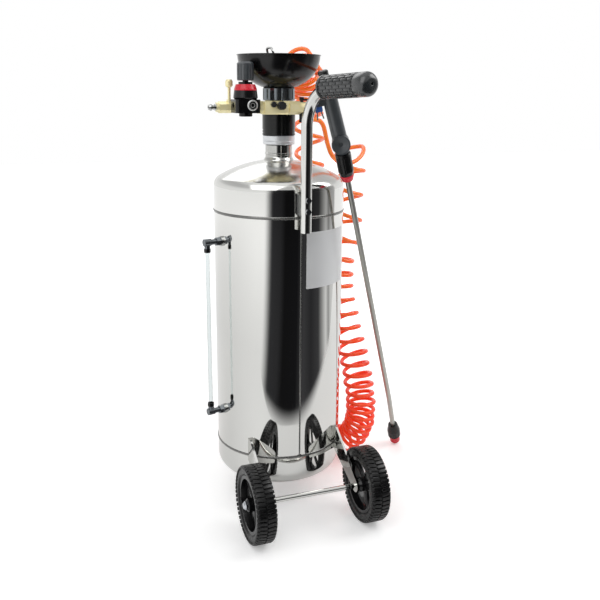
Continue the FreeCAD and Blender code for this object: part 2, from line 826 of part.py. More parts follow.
def gauge_nuts():
    corner = gauge_out() * (tank_radius + gauge_stand)
    nuts = []
    for z, toward in ((gauge_low + 11, 1), (gauge_high - 11, -1)):
        nut = hexagon(6.2, 7, corner + Vector(0, 0, z), Vector(0, 0, toward))
        nuts.append(nut.cut(cylinder(gauge_tube, 20, corner + Vector(0, 0, z - 10))))
    return Part.makeCompound(nuts)


def gauge_glass():
    corner = gauge_out() * (tank_radius + gauge_stand)
    return tube(gauge_tube, gauge_tube - gauge_tube_wall, gauge_low + 5, gauge_high - 5, corner.x, corner.y)


# Running gear

def wheel_straps():
    """Flat bars from the tank's sides down to the axle, rounded about it."""
    wall_y = -math.sqrt(tank_radius ** 2 - strap_outer ** 2)
    axle_at = Vector(0, -axle_back, wheel_radius)
    top = Vector(0, wall_y - 12, strap_top)
    run = Vector(0, axle_at.y - top.y, axle_at.z - top.z).normalize()
    square = Vector(0, -run.z, run.y)
    if square.z < 0:
        square = square * -1
    half = strap_width / 2
    side_high = axle_at + square * half
    side_low = axle_at - square * half
    outline = [
        Part.LineSegment(Vector(0, wall_y + 20, strap_top - strap_height),
                         Vector(0, wall_y + 20, strap_top)),
        Part.LineSegment(Vector(0, wall_y + 20, strap_top), top),
        Part.LineSegment(top, side_high),
        Part.Arc(side_high, axle_at + run * half, side_low),
        Part.LineSegment(side_low, Vector(0, wall_y + 20, strap_top - strap_height)),
    ]
    flat = Part.Face(Part.Wire([edge.toShape() for edge in outline]))
    tank = cylinder(tank_radius, tank_top, Vector(0, 0, 0)).fuse(seam_band(lower_seam + seam_width / 2))
    straps = []
    for start in (strap_outer - strap_thick, -strap_outer):
        strap = flat.translated(Vector(start, 0, 0)).extrude(Vector(strap_thick, 0, 0))
        bore = cylinder(axle_radius, 4 * wheel_track, Vector(-2 * wheel_track, -axle_back, wheel_radius),
                        Vector(1, 0, 0))
        straps.append(strap.cut(Part.makeCompound([tank, bore])))
    return Part.makeCompound(straps)


def axle():
    reach = wheel_centre + wheel_width / 2 + cap_length - 2
    return cylinder(axle_radius, 2 * reach, Vector(-reach, -axle_back, wheel_radius), Vector(1, 0, 0))


def along_axle(x, side, profile):
    """Turned piece on the axle from (radius, distance) pairs."""
    piece = turned(profile)
    turn = Rotation(Vector(0, 0, 1), Vector(side, 0, 0))
    piece.Placement = Placement(Vector(x, -axle_back, wheel_radius), turn)
    return piece


def axle_caps():
    """Pressed caps that keep the wheels on."""
    caps = []
    for side in (-1, 1):
        start = wheel_centre + wheel_width / 2 + seat_gap
        caps.append(along_axle(side * start, side, [
            (axle_radius, 0), (cap_radius, 0), (cap_radius, 2.5), (cap_radius - 3, cap_length),
            (0, cap_length), (0, cap_length - 2 - seat_gap), (axle_radius, cap_length - 2 - seat_gap)]))
    return Part.makeCompound(caps)


def axle_washers():
    rings = []
    for side in (-1, 1):
        rings.append(along_axle(side * strap_outer, side, [
            (axle_radius, 0), (9.0, 0), (9.0, strap_gap - seat_gap), (axle_radius, strap_gap - seat_gap)]))
    return Part.makeCompound(rings)


def wheel_rim(side):
    """Five-spoked moulding with a dished web and a long hub."""
    half = wheel_width / 2
    hub = [(axle_radius + shaft_fit, -half), (hub_radius - 2, -half), (hub_radius, -half + 4),
           (hub_radius - 1, half - 2), (hub_radius - 3, half), (axle_radius + shaft_fit, half)]
    ring = [(rim_inner, -rim_width / 2), (rim_outer, -rim_width / 2), (rim_outer, rim_width / 2),
            (rim_inner, rim_width / 2), (rim_inner - 2, 2), (rim_inner - 2, -2)]
    centre = side * wheel_centre
    hub_solid = along_axle(centre, side, hub)
    ring_solid = along_axle(centre, side, ring)
    spoke = Part.makeBox(10, 11, rim_inner - hub_radius + 2, Vector(-5, -5.5, hub_radius - 2))
    spoke = spoke.makeChamfer(2.5, [e for e in spoke.Edges if abs(e.Vertexes[0].Z - e.Vertexes[-1].Z) > 9])
    spoke.rotate(Vector(0, 0, 0), Vector(1, 0, 0), 90)
    spokes = ring_of(spoke, spoke_count, Vector(0, 0, 0), Vector(1, 0, 0))
    placed = [s.translated(Vector(centre, -axle_back, wheel_radius)) for s in spokes]
    return fused([hub_solid, ring_solid] + placed)


def tread_row(start, width, shift):
    """One ring of tread blocks, as a toothed outline pushed along the axle."""
    points = []
    base = wheel_radius - tread_depth
    step = 360.0 / tread_blocks
    for k in range(tread_blocks):
        for angle, radius in ((0.0, base), (0.22, wheel_radius), (0.78, wheel_radius), (1.0, base)):
            turn = math.radians((k + angle * 0.82 + shift) * step)
            points.append(Vector(start, radius * math.cos(turn), radius * math.sin(turn)))
    toothed = Part.Face(Part.makePolygon(points + [points[0]])).extrude(Vector(width, 0, 0))
    return toothed.cut(cylinder(base - 6, 3 * width, Vector(start - width, 0, 0), Vector(1, 0, 0)))


def tyre(side):
    """Solid tyre with a rounded side wall and two staggered rows of blocks."""
    half = wheel_width / 2
    base = wheel_radius - tread_depth
    wall = [(rim_outer, -half), (base - 6, -half), (base - 1, -half + 3), (base, -half + 5),
            (base, half - 5), (base - 1, half - 3), (base - 6, half), (rim_outer, half)]
    body = along_axle(0, 1, wall).translated(Vector(0, axle_back, -wheel_radius))
    rows = [tread_row(-half + 3, half - 4, 0.0), tread_row(1.0, half - 4, 0.5)]
    solid = body.fuse(rows)
    if side < 0:
        solid.rotate(Vector(0, 0, 0), Vector(0, 0, 1), 180)
    return solid.translated(Vector(side * wheel_centre, -axle_back, wheel_radius))


def front_foot():
    """Bent flat bar: an upright welded to the tank and a foot plate with its gusset."""
    half = foot_width / 2
    low = pad_thick
    upright = Part.makeBox(foot_width, 8, foot_top - low, Vector(-half, tank_radius - 3.5, low))
    corner = Vector(-half, foot_reach - foot_length / 2, low)
    plate = Part.makeBox(foot_width, foot_length, foot_plate, corner)
    tank = cylinder(tank_radius, tank_top, Vector(0, 0, lower_seam - lower_flange)).fuse(
        seam_band(lower_seam + seam_width / 2))
    dish = cylinder(tank_radius + 0.4, lower_seam - lower_flange, Vector(0, 0, 0))
    upper_part = upright.cut(tank)
    lower_cut = dish.cut(Part.makeBox(4 * tank_radius, 4 * tank_radius, 30,
                                      Vector(-2 * tank_radius, -2 * tank_radius, 0)))
    return fused([upper_part.cut(lower_cut), plate])


def foot_pad():
    """Rubber pad under the plate."""
    half = foot_width / 2
    return Part.makeBox(foot_width, foot_length, pad_thick, Vector(-half, foot_reach - foot_length / 2, 0))


# Spray gun and lance

def frame_along(origin, toward):
    """Placement whose Z runs along the piece, with X to the gun's trigger side."""
    along = (toward - origin).normalize()
    side = (gun_side - along * gun_side.dot(along)).normalize()
    return Placement(origin, Rotation(side, along.cross(side), along, "ZXY"))


def placed(shape, frame):
    """Copy moved by a frame, on top of any place that it has."""
    copy = shape.copy()
    copy.Placement = frame.multiply(shape.Placement)
    return copy


def nozzle_frame():
    return frame_along(nozzle_point, lance_bend)


def lance_frame():
    """Measured upwards from the lance's bend."""
    return frame_along(lance_bend, gun_pivot)


def gun_frame():
    return frame_along(gun_pivot, gun_top)


def lance_end():
    """Height of the gun's lower end along the lance, from the bend."""
    return (gun_pivot - lance_bend).Length - gun_below


def nozzle_tip():
    """Adjustable spray tip that turns on the nozzle's spigot."""
    length = nozzle_tip_length
    bore = nozzle_spigot + shaft_fit
    body = turned([(3.0, 0), (nozzle_tip_radius - 3, 0), (nozzle_tip_radius, 5), (nozzle_tip_radius, length),
                   (bore, length), (bore, 7), (3.0, 6)])
    return placed(body, nozzle_frame())


def nozzle_body():
    """Waisted nozzle guard with flutes, on the lance's end."""
    low = nozzle_tip_length + seat_gap
    high = nozzle_length
    foot = 7 + seat_gap
    body = turned([(nozzle_spigot, foot), (nozzle_spigot, low), (nozzle_radius - 3, low),
                   (nozzle_radius, low + 5), (nozzle_radius, low + 22), (nozzle_radius - 4, high),
                   (lance_radius, high), (lance_radius, high - lance_sunk), (2.5, high - lance_sunk),
                   (2.5, foot)])
    flute = cylinder(2.0, 20, Vector(nozzle_radius + 0.8, 0, low + 4))
    return placed(body.cut(Part.makeCompound(ring_of(flute, 8))), nozzle_frame())


def lance_tube():
    """Steel lance with its slight bend near the nozzle."""
    start = nozzle_frame().multVec(Vector(0, 0, nozzle_length - lance_sunk))
    end = lance_frame().multVec(Vector(0, 0, lance_end() + lance_sunk))
    return swept(rounded_path([start, lance_bend, end], lance_bend_radius), lance_radius)


def lance_nut():
    """Fluted union nut below the gun."""
    high = lance_end() - seat_gap
    low = high - lance_nut_length
    body = turned([(lance_radius, low), (lance_nut_radius - 2, low), (lance_nut_radius, low + 8),
                   (lance_nut_radius, high - 2), (lance_nut_radius - 1, high), (lance_radius, high)])
    flute = cylinder(1.8, lance_nut_length - 12, Vector(lance_nut_radius + 0.6, 0, low + 7))
    return placed(body.cut(Part.makeCompound(ring_of(flute, lance_nut_flutes))), lance_frame())


def lance_ring():
    """Coloured ring under the union nut."""
    high = lance_end() - seat_gap - lance_nut_length
    low = high - lance_ring_length
    body = turned([(lance_radius, low), (lance_nut_radius - 4, low), (lance_nut_radius - 1, high - 2),
                   (lance_nut_radius - 2, high), (lance_radius, high)])
    return placed(body, lance_frame())


def lance_core():
    """Room that the lance's upper end takes in the gun."""
    start = lance_frame().multVec(Vector(0, 0, lance_end() - 2))
    return cylinder(lance_radius, lance_sunk + 2, start, gun_pivot - lance_bend)


def gun_length():
    return (gun_top - gun_pivot).Length


def gun_body():
    """Tapered barrel with a cross boss, a passage, and two ears for the trigger."""
    length = gun_length()
    barrel = turned([(0, 0), (gun_radius, 0), (gun_radius, 20), (gun_radius - 0.6, length - 9),
                     (gun_radius - 4, length), (0, length)])
    foot = placed(turned([(0, 0), (gun_radius - 2, 0), (gun_radius - 0.5, 3), (gun_radius - 0.5, gun_below),
                          (0, gun_below)]), lance_frame()).translated(
        (gun_pivot - lance_bend).normalize() * lance_end())
    boss_end = Vector(0, -gun_boss_length / 2, 0)
    boss = cylinder(gun_boss_radius, gun_boss_length - 6, boss_end, Vector(0, 1, 0))
    ears = [Part.makeBox(trigger_reach, 3, 10, Vector(gun_radius - 4, y, trigger_height - 5))
            for y in (-9.0, 6.0)]
    passage = cylinder(3.0, length, Vector(0, 0, 4))
    pin = cylinder(trigger_pin_radius, 30, trigger_pin_at(-15), Vector(0, 1, 0))
    solid = fused([placed(s, gun_frame()) for s in [barrel, boss] + ears] + [foot])
    seat = cylinder(gun_cap_radius + seat_gap, 12, Vector(0, gun_boss_length / 2 - 6, 0), Vector(0, 1, 0))
    holes = [placed(s, gun_frame()) for s in (passage, pin, seat)] + [lance_core()]
    return solid.cut(Part.makeCompound(holes))


def trigger_pin_at(across):
    """Point on the trigger's pin line, in the gun's own frame."""
    return Vector(gun_radius + trigger_reach - 8, across, trigger_height)


def gun_cap():
    """Dished cap on the boss, with a recess in its middle."""
    low = gun_boss_length / 2 - 6
    cap = turned([(0, 0), (gun_cap_radius, 0), (gun_cap_radius, 6), (gun_cap_radius - 2, 6), (3.6, 3.0),
                  (3.6, 1.5), (0, 1.5)])
    cap.Placement = Placement(Vector(0, low, 0), Rotation(Vector(0, 0, 1), Vector(0, 1, 0)))
    return placed(cap, gun_frame())


def trigger():
    """Block and tongue that swing on the pin towards the barrel."""
    pin = trigger_pin_at(0)
    tongue = Part.makeBox(6, 11, 16, Vector(pin.x - 3, -5.5, pin.z - 11))
    near = Vector(gun_radius + trigger_gap, -trigger_block_deep / 2, trigger_block_low())
    block = Part.makeBox(trigger_block, trigger_block_deep, trigger_block_height, near)
    across = [e for e in block.Edges if abs(e.Vertexes[0].Y - e.Vertexes[-1].Y) > trigger_block_deep / 2]
    block = block.makeFillet(2.0, across)
    bore = cylinder(trigger_pin_radius + shaft_fit, 20, trigger_pin_at(-10), Vector(0, 1, 0))
    return placed(tongue.fuse(block).cut(bore), gun_frame())


def trigger_block_low():
    return trigger_height - trigger_block_drop - trigger_block_height


def trigger_wires():
    """Two wires that reach down from the block to the valve's link."""
    top = trigger_block_low()
    wires = []
    for start, end in ((gun_radius + trigger_gap + 3.5, -1.5), (gun_radius + trigger_gap + 10.0, 2.5)):
        first = Vector(start, 0, top)
        last = Vector(start + end, 0, top - 13)
        wires.append(cylinder(1.2, (last - first).Length, first, last - first))
    return Part.makeCompound([placed(wire, gun_frame()) for wire in wires])


def trigger_pin():
    return placed(cylinder(trigger_pin_radius, 18, trigger_pin_at(-9), Vector(0, 1, 0)), gun_frame())


def gun_inlet():
    """Swivel stub on the gun's top with a spigot towards the front of the cart."""
    stub = placed(turned([(0, 0), (7.5, 0), (7.5, 9), (6, 10.5), (0, 10.5)]), gun_frame())
    stub = stub.translated(gun_top - gun_pivot)
    middle = hose_end() - hose_in * inlet_reach
    spigot = cylinder(hose_radius + 0.8, inlet_reach, middle, hose_in)
    return stub.fuse(spigot)


def hose_end():
    """Face of the gun's spigot, where the hose is pushed on."""
    return gun_frame().multVec(Vector(0, 0, gun_length() + inlet_lift)) + hose_in * inlet_reach


def hose_tip():
    """Free end of the hose, just off the spigot's face, because the gun lifts away from it."""
    return hose_end() + hose_in * hose_tip_gap


# Curly hose

def coil_line():
    """Points close together along the coil's own line, a smooth one that bends towards its given points."""
    curve = Part.BSplineCurve()
    curve.buildFromPoles([Vector(x, y, z) for x, y, z, _ in curl_line], False, 2)
    steps = 40 * (len(curl_line) - 2)
    low, high = curve.FirstParameter, curve.LastParameter
    return [curve.value(low + (high - low) * k / steps) for k in range(steps + 1)]


def pitch_at(fraction):
    """Pitch of the curls at a fraction of the coil's own line."""
    place = fraction * (len(curl_line) - 1)
    k = min(int(place), len(curl_line) - 2)
    return curl_line[k][3] + (curl_line[k + 1][3] - curl_line[k][3]) * (place - k)


def coil_turns():
    """Place, direction, side and number of curls so far, at each point of the coil's own line."""
    line = coil_line()
    side = Vector(curl_zero)
    curls = 0.0
    turns = []
    for k, (here, ahead) in enumerate(zip(line, line[1:])):
        along = (ahead - here).normalize()
        side = (side - along * side.dot(along)).normalize()
        turns.append((here, along, side, curls))
        curls += (ahead - here).Length / pitch_at(k / (len(line) - 1))
    share = curl_count / turns[-1][3]
    return [(here, along, side, curls * share) for here, along, side, curls in turns]


def curl_poles():
    """Points round the coil, as many for each curl, with curls that differ a little in size."""
    turns = coil_turns()
    poles = []
    k = 0
    for step in range(int(curl_count * poles_per_curl) + 1):
        curls = step / poles_per_curl
        while k < len(turns) - 2 and turns[k + 1][3] < curls:
            k += 1
        here, along, side, start = turns[k]
        ahead = turns[k + 1]
        centre = here + (ahead[0] - here) * min(1.0, (curls - start) / (ahead[3] - start))
        angle = 2 * math.pi * curls
        across = side * math.cos(angle) - along.cross(side) * math.sin(angle)
        loose = 1 + 0.035 * math.sin(curls * 2.3) + 0.02 * math.sin(curls * 5.9)
        poles.append(centre + across * (curl_radius * loose))
    return poles


def arc_from(start, end, leave):
    """Arc between two points that leaves along a direction, and the direction it arrives in."""
    chord = end - start
    unit = Vector(chord).normalize()
    cosine = max(-1.0, min(1.0, leave.dot(unit)))
    bow = leave - unit * cosine
    if bow.Length < 1e-7:
        return Part.LineSegment(start, end).toShape(), leave
    middle = start + chord * 0.5 + bow.normalize() * (chord.Length / 2 * math.tan(math.acos(cosine) / 2))
    return Part.Arc(start, middle, end).toShape(), (unit * (2 * cosine) - leave).normalize()


def two_arcs(start, leave, end, arrive):
    """Two arcs that meet smoothly and match both directions."""
    chord = end - start
    total = leave + arrive
    square = 2 * (1 - leave.dot(arrive))
    if abs(square) < 1e-9:
        reach = chord.dot(chord) / (4 * chord.dot(arrive))
    else:
        half = chord.dot(total)
        reach = (-half + math.sqrt(half * half + square * chord.dot(chord))) / square
    joint = (start + end + (leave - arrive) * reach) * 0.5
    first, through = arc_from(start, joint, leave)
    second, _ = arc_from(joint, end, through)
    return [first, second]


def hose_knots():
    """Points that the hose passes, with its direction there: one at each bend of the tails, two a curl."""
    coil = curl_poles()
    first = [hose_start()] + [Vector(*p) for p in outlet_tail] + [coil[0]]
    last = [coil[-1]] + [Vector(*p) for p in gun_tail] + [hose_tip()]
    edges = list(zip(first, first[1:]))
    edges += list(zip(coil, coil[1:]))[3:-3:poles_per_curl // 2]
    edges += list(zip(last, last[1:]))
    return [((a + b) * 0.5, (b - a).normalize()) for a, b in edges]


def hose():
    """One unbroken tube of six-sided section, straight where it leaves both fittings."""
    knots = hose_knots()
    edges = [Part.LineSegment(hose_start(), knots[0][0]).toShape()]
    for (start, leave), (end, arrive) in zip(knots, knots[1:]):
        edges += two_arcs(start, leave, end, arrive)
    edges.append(Part.LineSegment(knots[-1][0], hose_tip()).toShape())
    radii = [edge.Curve.Radius for edge in edges if hasattr(edge.Curve, "Radius")]
    length = sum(edge.Length for edge in edges)
    print("hose length", round(length), "least bend radius", round(min(radii), 1))
    corners = [hose_start() + Vector(0, hose_radius * math.cos(math.radians(a)),
                                     hose_radius * math.sin(math.radians(a)))
               for a in range(0, 361, 360 // hose_sides)]
    section = Part.makePolygon(corners[:-1] + [corners[0]])
    return Part.Wire(edges).makePipeShell([section], True, False)


def least_gap(poles):
    """Smallest distance between neighbouring curls, surface to surface."""
    gaps = []
    for k in range(len(poles) - poles_per_curl * 3 // 2):
        near = poles[k + poles_per_curl // 2:k + poles_per_curl * 3 // 2]
        gaps.append(min((point - poles[k]).Length for point in near))
    return min(gaps) - 2 * hose_radius


os.makedirs("parts", exist_ok=True)
pieces = {
    "tank_shell": tank_shell,
    "upper_head": upper_head,
    "lower_head": lower_head,
    "neck_tube": neck_tube,
    "neck_gasket": neck_gasket,
    "neck_ring": neck_ring,
    "valve_sleeve": valve_sleeve,
    "dip_tube": dip_tube,
    "head_block": head_block,
    "collar_nut": collar_nut,
    "funnel": funnel,
    "filler_plug": filler_plug,
    "filler_bail": filler_bail,
    "manifold_bar": manifold_bar,
    "mix_knob": lambda: needle_valve(0, needle_knob_radius, 14),
    "bleed_knob": lambda: needle_valve(1, needle_knob_radius - 2, 8),
    "regulator_nipple": regulator_nipple,
    "regulator_body": regulator_body,
    "regulator_port_rings": port_rings,
    "regulator_bonnet": regulator_bonnet,
    "regulator_lock_ring": regulator_ring,
    "regulator_knob": regulator_knob,
    "inlet_nipple": inlet_nipple,
    "inlet_tee": inlet_tee,
    "inlet_plug": inlet_plug,
    "relief_valve": relief_valve,
    "outlet_hex": outlet_hex,
    "outlet_lever": outlet_lever,
    "outlet_elbow": outlet_elbow,
    "handle_tube": handle_tube,
    "handle_bracket": handle_bracket,
    "handle_bolts": handle_bolts,
    "grip": grip,
    "label_plate": label_plate,
    "gauge_bosses": gauge_bosses,
    "gauge_elbows": gauge_elbows,
    "gauge_nuts": gauge_nuts,
    "gauge_glass": gauge_glass,
    "wheel_straps": wheel_straps,
    "axle": axle,
    "axle_caps": axle_caps,
    "axle_washers": axle_washers,
    "left_rim": lambda: wheel_rim(-1),
    "left_tyre": lambda: tyre(-1),
    "right_rim": lambda: wheel_rim(1),
    "right_tyre": lambda: tyre(1),
    "front_foot": front_foot,
    "foot_pad": foot_pad,
    "nozzle_tip": nozzle_tip,
    "nozzle_body": nozzle_body,
    "lance_tube": lance_tube,
    "lance_ring": lance_ring,
    "lance_nut": lance_nut,
    "gun_body": gun_body,
    "gun_cap": gun_cap,
    "trigger": trigger,
    "trigger_wires": trigger_wires,
    "trigger_pin": trigger_pin,
    "gun_inlet": gun_inlet,
    "hose": hose,
}
for name, make in pieces.items():
    save(name, make())
print("pieces", len(pieces), "least gap between curls", round(least_gap(curl_poles()), 1))
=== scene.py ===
import bpy
import json
import math
from mathutils import Matrix, Vector


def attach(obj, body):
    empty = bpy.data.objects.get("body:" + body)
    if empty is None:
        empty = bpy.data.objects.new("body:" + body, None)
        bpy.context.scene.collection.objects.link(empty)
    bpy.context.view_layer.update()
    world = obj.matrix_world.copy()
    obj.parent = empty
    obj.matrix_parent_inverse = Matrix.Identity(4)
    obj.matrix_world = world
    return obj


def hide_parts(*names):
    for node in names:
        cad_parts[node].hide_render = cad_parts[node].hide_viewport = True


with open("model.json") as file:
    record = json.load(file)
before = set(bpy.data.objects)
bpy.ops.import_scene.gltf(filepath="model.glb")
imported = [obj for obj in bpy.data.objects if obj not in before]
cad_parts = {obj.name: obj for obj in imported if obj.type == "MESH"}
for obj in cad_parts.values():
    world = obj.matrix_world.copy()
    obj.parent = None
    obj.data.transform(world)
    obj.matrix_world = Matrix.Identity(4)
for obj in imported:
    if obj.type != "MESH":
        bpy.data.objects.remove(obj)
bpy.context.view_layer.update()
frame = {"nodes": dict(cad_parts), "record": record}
nodes = frame["nodes"]
print("frame loaded,", len(nodes), "nodes")

mm = 0.001
footReach = 118  # the CAD model is drawn about the tank's axis, and its origin is the front foot


def place(x, y, z):
    # a point measured in mm from the floor under the tank's axis
    return Vector((x * mm, (y - footReach) * mm, z * mm))


# Camera

camera = {
    "at": (-472.3, -1353.7, 776.5),
    "pitch": 15.26,  # degrees below the horizon
    "turn": -20.88,  # degrees, to the right of straight ahead
    "roll": 0.5,
    "lens": 46.41,  # mm, on a 36 mm sensor
}


def setCamera():
    bpy.ops.object.camera_add(location=place(*camera["at"]))
    eye = bpy.context.object
    eye.data.lens = camera["lens"]
    eye.data.sensor_width = 36
    turn = Matrix.Rotation(math.radians(camera["turn"]), 4, "Z")
    tilt = Matrix.Rotation(math.radians(90 - camera["pitch"]), 4, "X")
    roll = Matrix.Rotation(math.radians(camera["roll"]), 4, "Z")
    eye.matrix_world = Matrix.Translation(place(*camera["at"])) @ turn @ tilt @ roll
    bpy.context.scene.camera = eye


setCamera()


# Nodes and colours

def linear(hexText):
    # an sRGB colour as the linear one that Blender works in
    channels = [int(hexText[i:i + 2], 16) / 255 for i in (0, 2, 4)]
    return [c / 12.92 if c <= 0.04045 else ((c + 0.055) / 1.055) ** 2.4 for c in channels] + [1.0]


def addNode(tree, kind, settings=None, links=None):
    # a node with its settings, by attribute or socket, and what its sockets are linked to
    node = tree.nodes.new(kind)
    for name, value in (settings or {}).items():
        if isinstance(name, int) or name in node.inputs:
            node.inputs[name].default_value = value
        else:
            setattr(node, name, value)
    for name, source in (links or {}).items():
        tree.links.new(source, node.inputs[name])
    return node


def newFinish(name, settings):
    finish = bpy.data.materials.new(name)
    finish.use_nodes = True
    tree = finish.node_tree
    shader = tree.nodes["Principled BSDF"]
    for socket, value in settings.items():
        shader.inputs[socket].default_value = value
    return finish, tree, shader


def grainPattern(tree, grain, stretch, settings):
    # noise of one grain size in mm, over Object coordinates
    spot = addNode(tree, "ShaderNodeTexCoord")
    spread = addNode(tree, "ShaderNodeMapping", {"Scale": stretch},
                     {"Vector": spot.outputs["Object"]})
    return addNode(tree, "ShaderNodeTexNoise", {"Scale": 1 / (grain * mm), **settings},
                   {"Vector": spread.outputs["Vector"]})


def addRelief(tree, shader, grain, depth, stretch=(1, 1, 1), detail=2.0):
    # bump of one grain size and one depth, both in mm
    noise = grainPattern(tree, grain, stretch, {"Detail": detail})
    bump = addNode(tree, "ShaderNodeBump", {"Strength": 1.0, "Distance": depth * mm},
                   {"Height": noise.outputs["Fac"]})
    tree.links.new(bump.outputs["Normal"], shader.inputs["Normal"])


def addWear(tree, shader, grain, low, high, stretch=(1, 1, 1), tones=None):
    # patches of duller and shinier surface, each about one grain across, in two tones if given
    noise = grainPattern(tree, grain, stretch, {"Detail": 4.0, "Roughness": 0.6})
    patch = addNode(tree, "ShaderNodeMapRange",
                    {"From Min": 0.3, "From Max": 0.7, "To Min": low, "To Max": high},
                    {"Value": noise.outputs["Fac"]})
    tree.links.new(patch.outputs["Result"], shader.inputs["Roughness"])
    if tones:
        tone = addNode(tree, "ShaderNodeMix",
                       {"data_type": "RGBA", 6: linear(tones[0]), 7: linear(tones[1])},
                       {0: noise.outputs["Fac"]})
        tree.links.new(tone.outputs[2], shader.inputs["Base Color"])
    return patch.outputs["Result"]


def polishedStainless():
    # cold-rolled stainless, buffed: a mirror that the sheet's slight waviness bends
    finish, tree, shader = newFinish("buffedStainless", {
        "Base Color": linear("D9D9D6"), "Metallic": 1.0})
    addRelief(tree, shader, 60, 0.035, (1, 1, 0.3), 1.0)
    worn = addWear(tree, shader, 6, 0.02, 0.06, (1, 1, 0.06))
    # the spun upper head is buffed less than the wall, from its knuckle up
    knuckle = (0.6, 0.62)  # heights in m
    duller = 0.16
    spot = addNode(tree, "ShaderNodeTexCoord")
    axes = addNode(tree, "ShaderNodeSeparateXYZ", {}, {"Vector": spot.outputs["Object"]})
    dull = addNode(tree, "ShaderNodeMapRange",
                   {"From Min": knuckle[0], "From Max": knuckle[1], "To Max": duller},
                   {"Value": axes.outputs["Z"]})
    both = addNode(tree, "ShaderNodeMath", {"operation": "ADD"},
                   {0: worn, 1: dull.outputs["Result"]})
    tree.links.new(both.outputs[0], shader.inputs["Roughness"])
    return finish


def satinStainless():
    # stainless flat and fittings, left as rolled: soft blurred highlights
    finish, tree, shader = newFinish("rolledStainless", {
        "Base Color": linear("B9BAB9"), "Metallic": 1.0})
    addRelief(tree, shader, 1.2, 0.003)
    addWear(tree, shader, 9, 0.16, 0.24)
    return finish


def drawnStainless(name, tint, low, high):
    # drawn tube with its fine grain: a shine softer than the sheet's
    finish, tree, shader = newFinish(name, {
        "Base Color": linear(tint), "Metallic": 1.0})
    addRelief(tree, shader, 1, 0.002)
    addWear(tree, shader, 8, low, high)
    return finish


def weldBead():
    # stainless weld metal, wire-brushed: fine ripples, duller than the sheet
    finish, tree, shader = newFinish("brushedWeld", {
        "Base Color": linear("7C7C7A"), "Metallic": 1.0})
    addRelief(tree, shader, 1.5, 0.06)
    addWear(tree, shader, 4, 0.2, 0.34)
    return finish


def beadedRing():
    # turned stainless ring, glass-beaded: an even pale grey
    finish, tree, shader = newFinish("beadedStainless", {
        "Base Color": linear("E3E5E8"), "Metallic": 0.85})
    addRelief(tree, shader, 0.4, 0.004)
    addWear(tree, shader, 6, 0.42, 0.52)
    return finish


def satinNylon():
    # nylon from a lightly etched mould: near black with a broad grey sheen
    finish, tree, shader = newFinish("satinNylon", {
        "Base Color": linear("363B3F"), "Specular IOR Level": 1.0})
    addRelief(tree, shader, 0.6, 0.004)
    addWear(tree, shader, 10, 0.34, 0.42)
    return finish


def blackNickel(name, tint):
    # black nickel on brass, polished: a dark mirror
    finish, tree, shader = newFinish(name, {
        "Base Color": linear(tint), "Metallic": 0.9})
    addRelief(tree, shader, 3, 0.004)
    addWear(tree, shader, 6, 0.1, 0.18)
    return finish


def nickelPlate():
    # bright nickel on brass, slightly clouded
    finish, tree, shader = newFinish("nickelPlate", {
        "Base Color": linear("DDDEDC"), "Metallic": 0.8})
    addRelief(tree, shader, 2, 0.006)
    addWear(tree, shader, 4, 0.3, 0.4)
    return finish


def chromePlate():
    # bright chrome on brass: small hard highlights
    finish, tree, shader = newFinish("chromePlate", {
        "Base Color": linear("C4C7CC"), "Metallic": 1.0})
    addRelief(tree, shader, 5, 0.01)
    addWear(tree, shader, 4, 0.06, 0.14)
    return finish


def turnedBrass():
    # pale free-cutting brass with fine tool marks: a warm soft shine
    finish, tree, shader = newFinish("turnedBrass", {"Metallic": 0.35})
    addRelief(tree, shader, 0.6, 0.003, (1, 3, 3))
    addWear(tree, shader, 7, 0.2, 0.28, tones=("FFF9D6", "FFEEA6"))
    return finish


def mouldedNylon():
    # glass-filled nylon, spark-eroded mould: charcoal with a soft sheen
    finish, tree, shader = newFinish("mouldedNylon", {"Base Color": linear("1C1E20")})
    addRelief(tree, shader, 0.5, 0.02)
    addWear(tree, shader, 8, 0.34, 0.48)
    return finish


def glossAbs():
    # black ABS from a polished mould: deep black with clear highlights
    finish, tree, shader = newFinish("blackAbs", {
        "Base Color": linear("0B0B0C"), "Specular IOR Level": 0.4})
    addRelief(tree, shader, 3, 0.004)
    addWear(tree, shader, 15, 0.16, 0.24)
    return finish


def colouredAbs(name, *tones):
    # dyed ABS: even colour with slight flow marks
    finish, tree, shader = newFinish(name, {})
    addRelief(tree, shader, 2, 0.008)
    addWear(tree, shader, 5, 0.22, 0.34, tones=tones)
    return finish


def mouldedRubber(name, tones, low, high, gloss):
    # carbon-black rubber straight from the mould, with a slight shine on its edges
    finish, tree, shader = newFinish(name, {"Specular IOR Level": gloss})
    addRelief(tree, shader, 0.7, 0.02)
    addWear(tree, shader, 4, low, high, tones=tones)
    return finish


